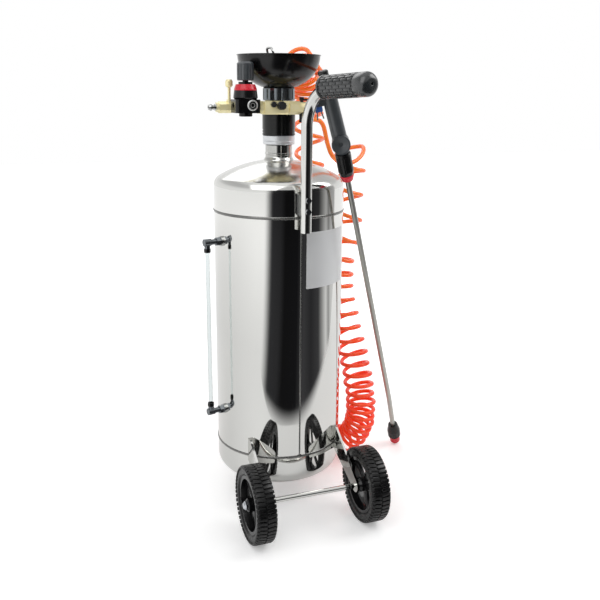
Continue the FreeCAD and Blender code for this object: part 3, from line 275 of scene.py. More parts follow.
def polyurethaneHose():
    # dyed clear polyurethane: light orange through the middle, deep red-orange where it is seen
    # edge on, with painted light: paler and more orange higher up, standing in for light through
    # the upper curls
    finish, tree, shader = newFinish("orangePolyurethane", {
        "IOR": 1.49, "Coat Weight": 0.15, "Coat Roughness": 0.1, "Subsurface Weight": 0.6,
        "Subsurface Radius": (0.012, 0.003, 0.0008), "Subsurface Scale": 1.0,
        # painted glow: an even orange emission standing in for light carried along inside the wall
        "Emission Color": linear("FF4A12"), "Emission Strength": 0.1})
    addWear(tree, shader, 20, 0.2, 0.3)
    # painted light: the upper curls get paler tones, fading in between these heights
    paintedLightHeights = (0.25, 0.6)  # heights in m between which the tones change
    rim = addNode(tree, "ShaderNodeLayerWeight", {"Blend": 0.45})
    spot = addNode(tree, "ShaderNodeTexCoord")
    axes = addNode(tree, "ShaderNodeSeparateXYZ", {}, {"Vector": spot.outputs["Object"]})
    high = addNode(tree, "ShaderNodeMapRange", {"From Min": paintedLightHeights[0], "From Max": paintedLightHeights[1]},
                   {"Value": axes.outputs["Z"]})
    tones = []
    # tones below, then the paler tones of the painted light higher up
    for middle, edge in (("FF5226", "F0240C"), ("FF9440", "F4541C")):
        tone = addNode(tree, "ShaderNodeMix",
                       {"data_type": "RGBA", 6: linear(middle), 7: linear(edge)},
                       {0: rim.outputs["Facing"]})
        tones.append(tone.outputs[2])
    blend = addNode(tree, "ShaderNodeMix", {"data_type": "RGBA"},
                    {0: high.outputs["Result"], 6: tones[0], 7: tones[1]})
    tree.links.new(blend.outputs[2], shader.inputs["Base Color"])
    return finish


def clearVinyl():
    # extruded clear PVC: hardly seen but for its edges
    return newFinish("clearVinyl", {
        "Base Color": linear("F4F8F8"), "Transmission Weight": 1.0, "IOR": 1.12,
        "Roughness": 0.02})[0]


def labelFoil():
    # silver polyester label, bare: an even pale sheen
    finish, tree, shader = newFinish("silverLabel", {
        "Base Color": linear("D4D5D6"), "Metallic": 0.35})
    addRelief(tree, shader, 9, 0.02)
    addWear(tree, shader, 10, 0.3, 0.42)
    return finish


finishes = {
    "polished_steel": polishedStainless(),
    "steel": satinStainless(),
    "chrome": chromePlate(),
    "brass": turnedBrass(),
    "black_plastic": mouldedNylon(),
    "gloss_black": glossAbs(),
    "red_plastic": colouredAbs("redAbs", "DC2638", "BC1C2C"),
    "blue_plastic": colouredAbs("blueAbs", "3C68B4", "2C5196"),
    "clear_tube": clearVinyl(),
    "orange_hose": polyurethaneHose(),
    "rubber": mouldedRubber("gripRubber", ("25292B", "181B1D"), 0.2, 0.3, 1.0),
    "tyre_black": mouldedRubber("tyreRubber", ("0C0C0D", "070708"), 0.24, 0.34, 0.35),
    "foil": labelFoil(),
}
etchedNylon = satinNylon()
# nodes whose own surface differs from the rest of their slot
nodeFinishes = {
    "neck_ring": beadedRing(),
    "regulator_port_rings": nickelPlate(),
    "wheel_straps": finishes["polished_steel"],
    "collar_nut": blackNickel("blackNickel", "7C8286"),
    "gun_body": etchedNylon,
    "regulator_knob": etchedNylon,
    "lance_tube": drawnStainless("drawnLance", "B4B4AE", 0.32, 0.42),
    "gun_cap": etchedNylon,
    "gauge_elbows": blackNickel("smokedNickel", "6E7276"),
    "left_rim": finishes["gloss_black"],
    "right_rim": finishes["gloss_black"],
    "outlet_elbow": finishes["gloss_black"],
}
for part in frame["record"]["subparts"]:
    slots = nodes[part["node"]].data.materials
    for index in range(len(slots)):
        slots[index] = nodeFinishes.get(part["node"], finishes[part["material_slot"]])
print("finishes set")


# Hose

hose = {
    "radius": 4,
    "curl": 28,  # radius of the curls
    "curls": 60.25,
    "perCurl": 14,  # points drawn in each
    "sway": ((0.035, 2.3), (0.02, 5.9)),  # how much and how often the curls' width strays
    "zero": (1, 0.25, 0),  # side of the coil on which its first curl starts
    "routeSteps": 40,
    "outlet": (46, -42.5, 724.5),
    "inlet": (23.8, -137.4, 800.3),
    # the coil's own line, and the pitch of the curls at each point
    "line": ((154, 20, 669, 49), (156, 33, 600, 50), (158, 36, 540, 46), (152, 42, 482, 40),
             (147, 52, 430, 27), (147, 54, 390, 31), (158, 44, 320, 29.5), (178, 30, 235, 24),
             (189, 21, 168, 19.5), (193, 19, 118, 13.5), (191, 32, 74, 13), (177, 56, 42, 17),
             (154, 82, 33, 18.5), (130, 107, 50, 17), (116, 121, 92, 15), (113, 125, 160, 18),
             (113, 125, 300, 26), (110, 129, 560, 36), (112, 128, 620, 42), (107, 124, 680, 56),
             (103, 121, 742, 50), (103, 117, 772, 14), (91, 107, 802, 15.5), (61, 80, 832, 17)),
    "firstTail": ((53, -42.5, 724.5), (64, -42.5, 722.5), (72, -40, 712), (78, -35, 694),
                  (86, -29, 674), (97, -23, 655), (118, -19, 642), (143, -14, 643),
                  (164, -4, 653), (177, 10, 665)),
    "lastTail": ((96, 46, 812), (97, 16, 800), (83, -32, 796), (53, -84, 799),
                 (23.8, -112, 800.3)),
}


def nurbsCurve(name, points, steps):
    curve = bpy.data.curves.new(name, "CURVE")
    curve.dimensions = "3D"
    spline = curve.splines.new("NURBS")
    spline.points.add(len(points) - 1)
    for point, at in zip(spline.points, points):
        point.co = (*at, 1)
    spline.order_u = 3
    spline.use_endpoint_u = True
    curve.resolution_u = steps
    return curve


def readRoute(points):
    # the smooth line that a NURBS spline draws through the space of these points
    curve = nurbsCurve("route", [place(*p) for p in points], hose["routeSteps"])
    thing = bpy.data.objects.new("route", curve)
    mesh = bpy.data.meshes.new_from_object(thing)
    line = [v.co.copy() for v in mesh.vertices]
    bpy.data.objects.remove(thing)
    bpy.data.meshes.remove(mesh)
    return line


def pitchAt(share):
    # pitch of the curls at a share of the coil's own line, in mm
    points = hose["line"]
    at = share * (len(points) - 1)
    k = min(int(at), len(points) - 2)
    return points[k][3] + (points[k + 1][3] - points[k][3]) * (at - k)


def curlPoints(line):
    # the coil about its own line, in even steps of its turning
    side = Vector(hose["zero"])
    curls = 0.0
    turns = []
    for k, (here, ahead) in enumerate(zip(line, line[1:])):
        along = (ahead - here).normalized()
        side = (side - along * side.dot(along)).normalized()
        turns.append((here, along, side.copy(), curls))
        curls += (ahead - here).length / (pitchAt(k / (len(line) - 1)) * mm)
    share = hose["curls"] / turns[-1][3]
    points = []
    k = 0
    for step in range(int(hose["curls"] * hose["perCurl"]) + 1):
        wanted = step / hose["perCurl"]
        while k < len(turns) - 2 and turns[k + 1][3] * share < wanted:
            k += 1
        here, along, side, start = turns[k]
        ahead = turns[k + 1]
        centre = here.lerp(ahead[0], min((wanted / share - start) / (ahead[3] - start), 1))
        angle = 2 * math.pi * wanted
        across = side * math.cos(angle) - along.cross(side) * math.sin(angle)
        loose = sum((depth * math.sin(wanted * rate) for depth, rate in hose["sway"]), 1)
        points.append(centre + across * (hose["curl"] * mm * loose))
    print("hose curls", round(turns[-1][3], 1), "set to", hose["curls"])
    return points


def makeHose():
    start = [place(*hose["outlet"])] + [place(*p) for p in hose["firstTail"]]
    end = [place(*p) for p in hose["lastTail"]] + [place(*hose["inlet"])]
    points = start + curlPoints(readRoute([p[:3] for p in hose["line"]])) + end
    curve = nurbsCurve("curlyHose", points, 2)
    curve.bevel_depth = hose["radius"] * mm
    curve.bevel_resolution = 4
    curve.materials.append(finishes["orange_hose"])
    thing = bpy.data.objects.new("curlyHose", curve)
    bpy.context.collection.objects.link(thing)
    # the spline runs through the middles of its control points' spans
    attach(thing, "cart")
    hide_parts("hose")


makeHose()


# Shared steps of the modelling

def makeActive(piece):
    bpy.ops.object.select_all(action="DESELECT")
    piece.select_set(True)
    bpy.context.view_layer.objects.active = piece


def turnPiece(name, sides, profile):
    # a turned shape about the Z axis, from (radius, height) pairs in mm, drawn ring by ring
    bpy.ops.object.select_all(action="DESELECT")
    radius, height = profile[0]
    bpy.ops.mesh.primitive_circle_add(vertices=sides, radius=radius * mm,
                                      location=(0, 0, height * mm))
    piece = bpy.context.object
    piece.name = name
    bpy.ops.object.transform_apply()
    bpy.ops.object.mode_set(mode="EDIT")
    bpy.ops.mesh.select_all(action="SELECT")
    for (r, z), (nextR, nextZ) in zip(profile, profile[1:]):
        bpy.ops.mesh.extrude_edges_move(
            TRANSFORM_OT_translate={"value": (0, 0, (nextZ - z) * mm)})
        bpy.ops.transform.resize(value=(nextR / r, nextR / r, 1),
                                 center_override=(0, 0, nextZ * mm))
    bpy.ops.mesh.select_all(action="SELECT")
    bpy.ops.mesh.remove_doubles(threshold=0.03 * mm)
    bpy.ops.mesh.normals_make_consistent(inside=False)
    bpy.ops.object.mode_set(mode="OBJECT")
    return piece


def clearPicks(piece, kind):
    makeActive(piece)
    bpy.ops.object.mode_set(mode="EDIT")
    bpy.ops.mesh.select_mode(type=kind)
    bpy.ops.mesh.select_all(action="DESELECT")
    bpy.ops.object.mode_set(mode="OBJECT")


def pickFaces(piece, wanted):
    # only the faces whose centre and normal pass the test are selected, in edit mode
    clearPicks(piece, "FACE")
    for face in piece.data.polygons:
        face.select = bool(wanted(face.center / mm, face.normal))
    bpy.ops.object.mode_set(mode="EDIT")


def pickPoints(piece, wanted):
    # the same for points
    clearPicks(piece, "VERT")
    for point in piece.data.vertices:
        point.select = bool(wanted(point.co / mm))
    bpy.ops.object.mode_set(mode="EDIT")


def shiftPoints(piece, wanted, rise):
    pickPoints(piece, wanted)
    bpy.ops.transform.translate(value=(0, 0, rise * mm))
    bpy.ops.object.mode_set(mode="OBJECT")


def raiseFaces(piece, wanted, height):
    # islands of faces pushed out along their normals, as blocks or ribs
    pickFaces(piece, wanted)
    bpy.ops.mesh.extrude_region_shrink_fatten(TRANSFORM_OT_shrink_fatten={"value": height * mm})
    bpy.ops.object.mode_set(mode="OBJECT")


def stand(piece, base=(0, 0, 0), aim=(0, 0, 1), side=(1, 0, 0)):
    # turned so that its Z axis points along aim, and set down at base, in mm about the tank
    z = Vector(aim).normalized()
    x = Vector(side)
    x = (x - z * x.dot(z)).normalized()
    y = z.cross(x)
    turn = Matrix((x, y, z)).transposed().to_4x4()
    makeActive(piece)
    piece.matrix_world = Matrix.Translation(place(*base)) @ turn
    bpy.ops.object.transform_apply()


def soften(piece, width, segments=2, limit=35):
    # the small radius of a moulded or machined edge
    bpy.context.view_layer.objects.active = piece
    bevel = piece.modifiers.new("edge", "BEVEL")
    bevel.width = width * mm
    bevel.segments = segments
    bevel.limit_method = "ANGLE"
    bevel.angle_limit = math.radians(limit)
    bevel.use_clamp_overlap = True
    bpy.ops.object.modifier_apply(modifier=bevel.name)


def settle(piece, finish, slot, body, *replaced, angle=35):
    # a finished piece: smooth where it is round, with its finish, on its body
    makeActive(piece)
    bpy.ops.object.shade_smooth_by_angle(angle=math.radians(angle))
    piece.data.materials.clear()
    piece.data.materials.append(finish)
    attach(piece, body)
    if replaced:
        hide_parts(*replaced)


def arc(centreR, centreZ, radius, start, end, steps):
    # points of a profile's arc, by angle in degrees from the +radius direction towards +Z
    angles = [math.radians(start + (end - start) * k / steps) for k in range(steps + 1)]
    return [(max(centreR + radius * math.cos(a), 0.01), centreZ + radius * math.sin(a))
            for a in angles]


# Tank

tank = {
    "radius": 120,
    "sides": 192,
    # arcs of the heads: middle, radius, from and to in degrees, steps
    "lowerCrown": (0, 498.2, 456.2, -90, -77.6, 10),
    "lowerKnuckle": (92, 80, 28, -77.6, 0, 14),
    "upperKnuckle": (100, 606, 20, 0, 59.8, 14),
    "upperCrown": (0, 434.3, 218.7, 59.8, 90, 24),
    "girthWelds": (113, 562),
    "weldHalf": 2.5,
    "weldRise": 1.2,
    "weldSink": 0.6,
    "seam": (118, 557),  # lowest and highest point of the long weld
    "seamRadius": 1.6,
    "stopRadius": 4.2,
}


def makeTank():
    t = tank
    profile = arc(*t["lowerCrown"]) + arc(*t["lowerKnuckle"])[1:]
    profile += [(t["radius"], z) for z in range(120, 601, 40)]
    profile += arc(*t["upperKnuckle"]) + arc(*t["upperCrown"])[1:]
    piece = turnPiece("tankBody", t["sides"], profile)
    stand(piece)
    settle(piece, finishes["polished_steel"], "polished_steel", "cart",
           "tank_shell", "upper_head", "lower_head", angle=60)


def makeWelds():
    # proud rounded beads, left as welded, so they stay duller than the buffed sheet
    t = tank
    bead = weldBead()
    half, sink = t["weldHalf"], t["weldSink"]
    outer = t["radius"] + t["weldRise"]
    flank = [(t["radius"] - sink, -half), (t["radius"], -half), (outer - 0.45, -half * 0.66),
             (outer - 0.1, -half * 0.3)]
    section = flank + [(outer, 0)] + [(r, -z) for r, z in flank[::-1]] + flank[:1]
    for name, height in zip(("girthWeldA", "girthWeldB"), t["girthWelds"]):
        piece = turnPiece(name, t["sides"], [(r, height + z) for r, z in section])
        stand(piece)
        settle(piece, bead, "polished_steel", "cart", angle=60)
    low, high = t["seam"]
    r = t["seamRadius"]
    seam = turnPiece("longWeld", 20, [(0.01, low), (r * 0.6, low + 0.4), (r, low + 1.6),
                                      (r, high - 1.6), (r * 0.6, high - 0.4), (0.01, high)])
    stand(seam, (0, sink - t["radius"], 0))
    settle(seam, bead, "polished_steel", "cart", angle=60)
    # a flattened blob where the long weld runs into the lower bead
    blob = turnPiece("weldStop", 24, arc(0, 0, t["stopRadius"], -90, 90, 10))
    bpy.ops.transform.resize(value=(1, 0.45, 1))
    bpy.ops.object.transform_apply()
    stand(blob, (0, -t["radius"], t["girthWelds"][0] + 1))
    settle(blob, bead, "polished_steel", "cart", angle=60)


makeTank()
makeWelds()


# Neck and funnel

neck = {
    "sides": 96,
    "bore": 20,
    "outside": ((27.7, 649), (27.5, 651), (26.4, 653.6), (25.1, 655.4), (24.3, 657), (24.3, 661),
                (25.1, 661.8), (25.1, 664.2), (24.3, 665), (24.3, 678)),
}
funnel = {
    "sides": 128,
    "foot": (28.8, 779),
    "belly": (70.85, 793),  # the curve's handle
    "rim": (73.5, 833),
    "lip": 1.4,
    "top": 834.4,
    "wall": 2.0,
    "throat": 17.7,
    "steps": 22,
}


def makeNeck():
    outside, bore = list(neck["outside"]), neck["bore"]
    profile = outside + [(bore, outside[-1][1]), (bore, outside[0][1]), outside[0]]
    piece = turnPiece("neckFerrule", neck["sides"], profile)
    stand(piece)
    settle(piece, drawnStainless("turnedNeck", "BDBDBA", 0.1, 0.16), "polished_steel", "cart",
           "neck_tube", angle=30)


def bowlCurve(inward):
    # the bowl's side from foot to rim, a curve with one handle, set in by the wall
    f = funnel
    points = []
    for k in range(f["steps"] + 1):
        t = k / f["steps"]
        spread = [(1 - t) ** 2, 2 * t * (1 - t), t ** 2]
        ends = (f["foot"], f["belly"], f["rim"])
        points.append((sum(s * e[0] for s, e in zip(spread, ends)) - inward,
                       sum(s * e[1] for s, e in zip(spread, ends)) + inward * (1 - t)))
    return points


def makeFunnel():
    f = funnel
    (rim, low), top = f["rim"], f["top"]
    lip, inner = rim + f["lip"], rim - f["wall"]
    outside = bowlCurve(0)
    inside = bowlCurve(f["wall"])
    profile = [(f["throat"], f["foot"][1])] + outside
    profile += [(lip - 0.2, low + 0.1), (lip, low + 0.4), (lip, top - 0.3), (lip - 0.4, top),
                (inner + 0.3, top), (inner, top - 0.3)]
    profile += inside[::-1] + [(f["throat"], inside[0][1]), (f["throat"], f["foot"][1])]
    piece = turnPiece("fillerFunnel", f["sides"], profile)
    stand(piece)
    settle(piece, finishes["gloss_black"], "gloss_black", "cart", "funnel", angle=40)


makeNeck()
makeFunnel()


# Ring on each port of the regulator, the front one closed by a socket plug

port = {
    "open": ((-97, -42.5, 749), (-1, 0, 0)),
    "plugged": ((-69, -62.5, 749), (0, -1, 0)),
    "radius": 9,
    "rise": 3,
    "hole": 4.8,
    "edge": 1.0,  # chamfer
    "hex": 3.0,
    # outer radius of the black ring of painted shade round the plug
    "gapShade": 6.4,
}


def makePorts():
    r, rise, hole, edge = port["radius"], port["rise"], port["hole"], port["edge"]
    nickel = nodeFinishes["regulator_port_rings"]
    for name, replaced in (("open", ["regulator_port_rings"]), ("plugged", [])):
        ring = turnPiece(name + "PortRing", 64, [
            (hole, 0), (r, 0), (r, rise - edge), (r - edge, rise), (hole + edge, rise),
            (hole, rise - edge), (hole, 0)])
        stand(ring, *port[name])
        settle(ring, nickel, "chrome", "cart", *replaced)
    # six-sided socket, sunk into a turned plug
    socket = port["hex"]
    plug = turnPiece("portPlug", 48, [
        (0.01, 0.2), (hole - 0.15, 0.2), (hole - 0.15, rise - 1.4), (hole - 0.75, rise - 0.7),
        (socket + 0.2, rise - 0.7), (socket + 0.05, rise - 0.75), (socket, rise - 2.6),
        (0.01, rise - 2.6)])
    stand(plug, *port["plugged"])
    settle(plug, nickel, "chrome", "cart", angle=20)
    # painted shade: a black ring stands in for the shade in the gap round the plug, and a black
    # hexagon for the shade deep inside its socket
    for name, sides, outer, inner, low, high in (
            ("plugGapShade", 48, port["gapShade"], hole - 0.5, rise - 0.9, rise + 0.2),
            ("plugSocketShade", 6, socket, 0.05, rise - 2.5, rise - 0.9)):
        insert = turnPiece(name, sides, [
            (inner, low), (outer, low), (outer, high - 0.3), (outer - 0.3, high),
            (inner + 0.02, high), (inner, low)])
        stand(insert, *port["plugged"])
        settle(insert, finishes["gloss_black"], "gloss_black", "cart", angle=20)


makePorts()


# Handle and grip

handle = {
    "radius": 9.5,
    "wall": 1.5,
    "foot": (0, -141, 540),
    "corner": (0, -141, 777),
    "bend": 65,
    "swing": 16,  # degrees that the grip points to the right of straight ahead
    "rise": 2.8,
    "reach": 145,
    "sides": 64,
    "bendSteps": 28,
    "hollow": 30,  # how far the cut lower end is open
}
grip = {
    "start": 45,  # mm past the corner
    "length": 112,
    "flange": (19.4, 4.5),
    "waist": 17.2,
    "blockRise": 1.4,
    "plain": 27,  # smooth end
    "rows": 22,
    "halfBand": 8.1,
    "slot": 1.6,
    "gap": 1.5,  # from the flange to the first blocks
    "groove": 1.4,  # from the last blocks to the smooth end
    "end": 18.5,
    "endRound": 12,
    "vent": 2.2,
    "ventDepth": 5,
    "edge": 0.35,
}


def gripAim():
    swing, rise = math.radians(handle["swing"]), math.radians(handle["rise"])
    level = math.cos(rise)
    return Vector((math.sin(swing) * level, -math.cos(swing) * level, math.sin(rise)))


def makeHandle():
    h = handle
    aim = gripAim()
    up = Vector((0, 0, 1))
    foot, corner = place(*h["foot"]), place(*h["corner"])
    angle = up.angle(aim)
    back = h["bend"] * mm * math.tan(angle / 2)
    bpy.ops.object.select_all(action="DESELECT")
    bpy.ops.mesh.primitive_circle_add(vertices=h["sides"], radius=h["radius"] * mm, location=foot)
    piece = bpy.context.object
    piece.name = "handleTube"
    bpy.ops.object.transform_apply()
    bpy.ops.object.mode_set(mode="EDIT")
    bpy.ops.mesh.select_all(action="SELECT")
    bpy.ops.mesh.extrude_edges_move(
        TRANSFORM_OT_translate={"value": (0, 0, corner.z - foot.z - back)})
    # round the bend about the point that both straight runs are square to
    hub = corner - up * back + (aim - up * aim.dot(up)).normalized() * h["bend"] * mm
    bpy.ops.mesh.spin(steps=h["bendSteps"], angle=angle, center=hub,
                      axis=aim.cross(up).normalized())
    rest = h["reach"] * mm - back
    bpy.ops.mesh.extrude_edges_move(TRANSFORM_OT_translate={"value": aim * rest})
    bpy.ops.mesh.edge_face_add()
    bpy.ops.object.mode_set(mode="OBJECT")
    # the cut lower end, with the tube's wall
    pickPoints(piece, lambda p: p.z < h["foot"][2] + 0.1)
    bpy.ops.mesh.extrude_edges_move(TRANSFORM_OT_translate={"value": (0, 0, 0)})
    inner = (h["radius"] - h["wall"]) / h["radius"]
    bpy.ops.transform.resize(value=(inner, inner, 1), center_override=foot)
    bpy.ops.mesh.extrude_edges_move(TRANSFORM_OT_translate={"value": (0, 0, h["hollow"] * mm)})
    bpy.ops.mesh.edge_face_add()
    bpy.ops.mesh.select_all(action="SELECT")
    bpy.ops.mesh.remove_doubles(threshold=0.02 * mm)
    bpy.ops.mesh.normals_make_consistent(inside=False)
    bpy.ops.object.mode_set(mode="OBJECT")
    settle(piece, drawnStainless("bentTube", "D9D9D6", 0.08, 0.13), "polished_steel", "cart",
           "handle_tube")


def makeGrip():
    g = grip
    columns = g["rows"] * 4
    flangeR, flangeW = g["flange"]
    first = flangeW + g["gap"]
    last = g["length"] - g["plain"]
    waist, length, end, turn = g["waist"], g["length"], g["end"], g["endRound"]
    profile = [(handle["radius"], 0), (flangeR - 0.6, 0), (flangeR, 0.6), (flangeR, flangeW - 0.6),
               (flangeR - 0.6, flangeW), (waist, flangeW + 0.4), (waist, first)]
    z = first + g["slot"]
    cuts = []
    while z < last - g["slot"]:
        cuts.append(z)
        z += g["halfBand"]
    for z in cuts:
        profile += [(waist, z), (waist, z + g["slot"])]
    profile += [(waist, last - g["groove"]), (waist, last), (end - 0.3, last + 0.1),
                (end, last + 0.6)]
    profile += arc(end - turn, length - turn, turn, 0, 84, 14)
    profile += [(g["vent"] + 0.5, length + 0.1), (g["vent"], length - 0.4),
                (g["vent"], length - g["ventDepth"]), (0.01, length - g["ventDepth"])]
    piece = turnPiece("ribbedGrip", columns, profile)
    step = 2 * math.pi / columns

    def onBlock(p, normal):
        if not first < p.z < last - g["groove"] or abs(normal.z) > 0.5:
            return False
        column = int(math.atan2(p.y, p.x) / step + columns)
        row, at = divmod(column % columns, 4)
        if at == 3:
            return False
        for k, cut in enumerate(cuts):
            if cut < p.z < cut + g["slot"]:
                return (k + row) % 2 == 0
        return True

    raiseFaces(piece, onBlock, g["blockRise"])
    soften(piece, g["edge"], 2)
    aim = gripAim()
    base = Vector(handle["corner"]) + aim * g["start"]
    stand(piece, base, aim)
    settle(piece, finishes["rubber"], "rubber", "cart", "grip")


makeHandle()
makeGrip()


# Tyres

tyre = {
    "pair": (("tyreLeft", "left_tyre", "left_wheel", -107),
             ("tyreRight", "right_tyre", "right_wheel", 107)),
    "y": -186,
    "z": 70,
    "radius": 70,
    "depth": 3.0,  # of the tread blocks
    "halfWidth": 16.5,
    # the side from the bore out: radius of each point, and how far in from the widest one
    "side": ((52.1, 4), (54.1, 1.6), (55.5, 0.3), (61.5, 0), (64, 0.5)),
    "shoulder": 63.5,  # radius from which the tread has slots and blocks
    "roundOff": 3,  # from the tread's flat to the widest point
    "groove": 1.1,  # half of the one round the middle
    "blocks": 52,
    "slant": 1.5,  # degrees that each slot leans
    "zigzag": 0.9,
    "edge": 0.45,
}


def makeTyre():
    t = tyre
    columns = t["blocks"] * 4
    base = t["radius"] - t["depth"]
    half, groove = t["halfWidth"], t["groove"]
    flat = half - t["roundOff"]
    side = (*t["side"], (base - 0.8, t["roundOff"] / 2), (base, t["roundOff"]))
    flank = [(r, inset - half) for r, inset in side] + [(base, -groove)]
    profile = flank + [(r, -z) for r, z in flank[::-1]] + flank[:1]
    piece = turnPiece("treadedTyre", columns, profile)
    step = 2 * math.pi / columns
    # the slots lean, and the groove round the middle zigzags
    for sign in (-1, 1):
        pickPoints(piece, lambda p: p.z * sign > flat - 0.5 and p.xy.length > t["shoulder"])
        bpy.ops.transform.rotate(value=math.radians(t["slant"]), orient_axis="Z",
                                 center_override=(0, 0, 0))
        bpy.ops.object.mode_set(mode="OBJECT")

    def inGroove(p):
        return abs(p.z) < 2 * groove and p.xy.length > base - 0.5

    def atTooth(p):
        column = round(math.atan2(p.y, p.x) / step) % 4
        return inGroove(p) and column in (0, 1)

    shiftPoints(piece, atTooth, t["zigzag"])
    shiftPoints(piece, lambda p: inGroove(p) and not atTooth(p), -t["zigzag"])

    def onBlock(p, normal):
        if p.xy.length < t["shoulder"] or abs(p.z) < 2 * groove:
            return False
        lean = math.radians(t["slant"]) * min(1, (abs(p.z) - groove) / (flat - groove))
        column = int((math.atan2(p.y, p.x) - lean) / step + columns * 2)
        shift = 0 if p.z > 0 else 2
        return (column + shift) % 4 != 3

    raiseFaces(piece, onBlock, t["depth"] - 0.2)
    soften(piece, t["edge"], 1, 50)
    return piece


def makeTyres():
    first = makeTyre()
    second = bpy.data.objects.new("treadedTyre", first.data.copy())
    bpy.context.collection.objects.link(second)
    for piece, (name, node, body, x) in zip((first, second), tyre["pair"]):
        piece.name = name
        stand(piece, (x, tyre["y"], tyre["z"]), (1, 0, 0), (0, 1, 0))
        settle(piece, finishes["tyre_black"], "tyre_black", body, node)


makeTyres()
print("new pieces made")


# Floor, backdrop and lamps

studio = {
    "floorSize": 14,
    "worldLight": 0.62,
    "lamps": (  # place in m, turn in degrees, size in m, power
        ((-1.6, -1.6, 2.3), (38, 0, -45), 2.4, 28),
        ((1.9, -0.6, 2.1), (45, 0, 70), 1.4, 22),
        ((0.0, 1.8, 2.4), (-38, 0, 0), 1.8, 14),
    ),
    # tones of the room in the steel, by the height of the direction
    "overhead": ((0.0, "FFFFFF"), (0.3, "F4F4F4"), (0.42, "D2D2D2"), (0.7, "C4C4C4"),
                 (0.82, "E2E2E2"), (0.93, "FFFFFF")),
    # light on the floor that only the camera sees, and what the steel shows of it:
    # from and to so many m off the cart, and how much at each
    "floorLift": (0.35, 1.3, 0.27, 0.6),
    "mirroredLift": (1.1, 3.5, 0.02, 0.42),
}
# the dark end of the room past the paper sheet, seen only in the steel, in m, and in degrees
# about the tank
dark = {
    "near": 0.5,
    "far": 1.9,
    "edge": 8,
    "wall": 3.5,
    "height": 0.004,
    "middle": -76,
    "half": 80,
    "corner": 6,  # the higher, the squarer its near corners
    # across, from left to right
    "tones": ((0.0, "3A3A3C"), (0.24, "343436"), (0.33, "2E2E30"), (0.38, "161617"),
              (0.51, "18181A"), (0.58, "3E3E40"), (0.66, "2C2C2E"), (0.75, "3E3E40"),
              (0.79, "8E8E8E"), (0.85, "DADADA"), (0.89, "9A9A9A"), (0.92, "D0D0D0"),
              (1.0, "E6E6E6")),
    "left": (0.15, 0.25),  # shares of its width between which it fades in
    "fade": 0.17,  # and so many m from its bowed near edge
    "start": 0.52,
    "deepest": 0.4,
    "bow": 2.4,
}


def setTones(ramp, tones):
    stops = ramp.color_ramp.elements
    while len(stops) < len(tones):
        stops.new(0.5)
    for stop, (at, tone) in zip(stops, tones):
        stop.position = at
        stop.color = linear(tone)


def setWorld():
    world = bpy.data.worlds.new("studio")
    bpy.context.scene.world = world
    world.use_nodes = True
    tree = world.node_tree
    back = tree.nodes["Background"]
    back.inputs["Color"].default_value = linear("FFFFFF")
    back.inputs["Strength"].default_value = studio["worldLight"]
    seen = addNode(tree, "ShaderNodeBackground", {"Color": linear("FFFFFF"), "Strength": 1.0})
    path = addNode(tree, "ShaderNodeLightPath")
    first = addNode(tree, "ShaderNodeMath", {"operation": "MAXIMUM"},
                    {0: path.outputs["Is Camera Ray"], 1: path.outputs["Is Glossy Ray"]})
    both = addNode(tree, "ShaderNodeMath", {"operation": "MAXIMUM"},
                   {0: first.outputs[0], 1: path.outputs["Is Transmission Ray"]})
    # overhead the room is greyer between the lamps and the white ceiling, which the steel shows
    view = addNode(tree, "ShaderNodeTexCoord")
    axes = addNode(tree, "ShaderNodeSeparateXYZ", {}, {"Vector": view.outputs["Generated"]})
    ramp = addNode(tree, "ShaderNodeValToRGB", {}, {"Fac": axes.outputs["Z"]})
    setTones(ramp, studio["overhead"])
    mirrored = addNode(tree, "ShaderNodeMix", {"data_type": "RGBA", 6: linear("FFFFFF")},
                       {0: path.outputs["Is Glossy Ray"], 7: ramp.outputs["Color"]})
    tree.links.new(mirrored.outputs[2], seen.inputs["Color"])
    mixed = addNode(tree, "ShaderNodeMixShader", {}, {
        0: both.outputs[0], 1: back.outputs[0], 2: seen.outputs[0]})
    tree.links.new(mixed.outputs[0], tree.nodes["World Output"].inputs["Surface"])


def makeFloor():
    bpy.ops.object.select_all(action="DESELECT")
    bpy.ops.mesh.primitive_plane_add(size=studio["floorSize"], location=(0, 0, 0))
    floor = bpy.context.object
    floor.name = "floor"
    finish, tree, shader = newFinish("paperSweep", {
        "Base Color": linear("F2F2F2"), "Roughness": 0.3, "Specular IOR Level": 0.3})
    path = addNode(tree, "ShaderNodeLightPath")
    spot = addNode(tree, "ShaderNodeTexCoord")
    reach = addNode(tree, "ShaderNodeVectorMath", {"operation": "LENGTH"},
                    {0: spot.outputs["Object"]})
    lifts = []
    for near, far, low, high in (studio["floorLift"], studio["mirroredLift"]):
        spread = addNode(tree, "ShaderNodeMapRange",
                         {"From Min": near, "From Max": far, "To Min": low, "To Max": high},
                         {"Value": reach.outputs["Value"]})
        lifts.append(spread.outputs["Result"])
    direct = addNode(tree, "ShaderNodeMath", {"operation": "MULTIPLY"},
                     {0: path.outputs["Is Camera Ray"], 1: lifts[0]})
    lift = addNode(tree, "ShaderNodeMath", {"operation": "MULTIPLY_ADD"},
                   {0: path.outputs["Is Glossy Ray"], 1: lifts[1], 2: direct.outputs[0]})
    shader.inputs["Emission Color"].default_value = linear("FFFFFF")
    tree.links.new(lift.outputs[0], shader.inputs["Emission Strength"])
    floor.data.materials.append(finish)


def offMiddle(point):
    # degrees off the middle of the dark sector
    angle = math.degrees(math.atan2(point.y, point.x)) - dark["middle"]
    return (angle + 180) % 360 - 180


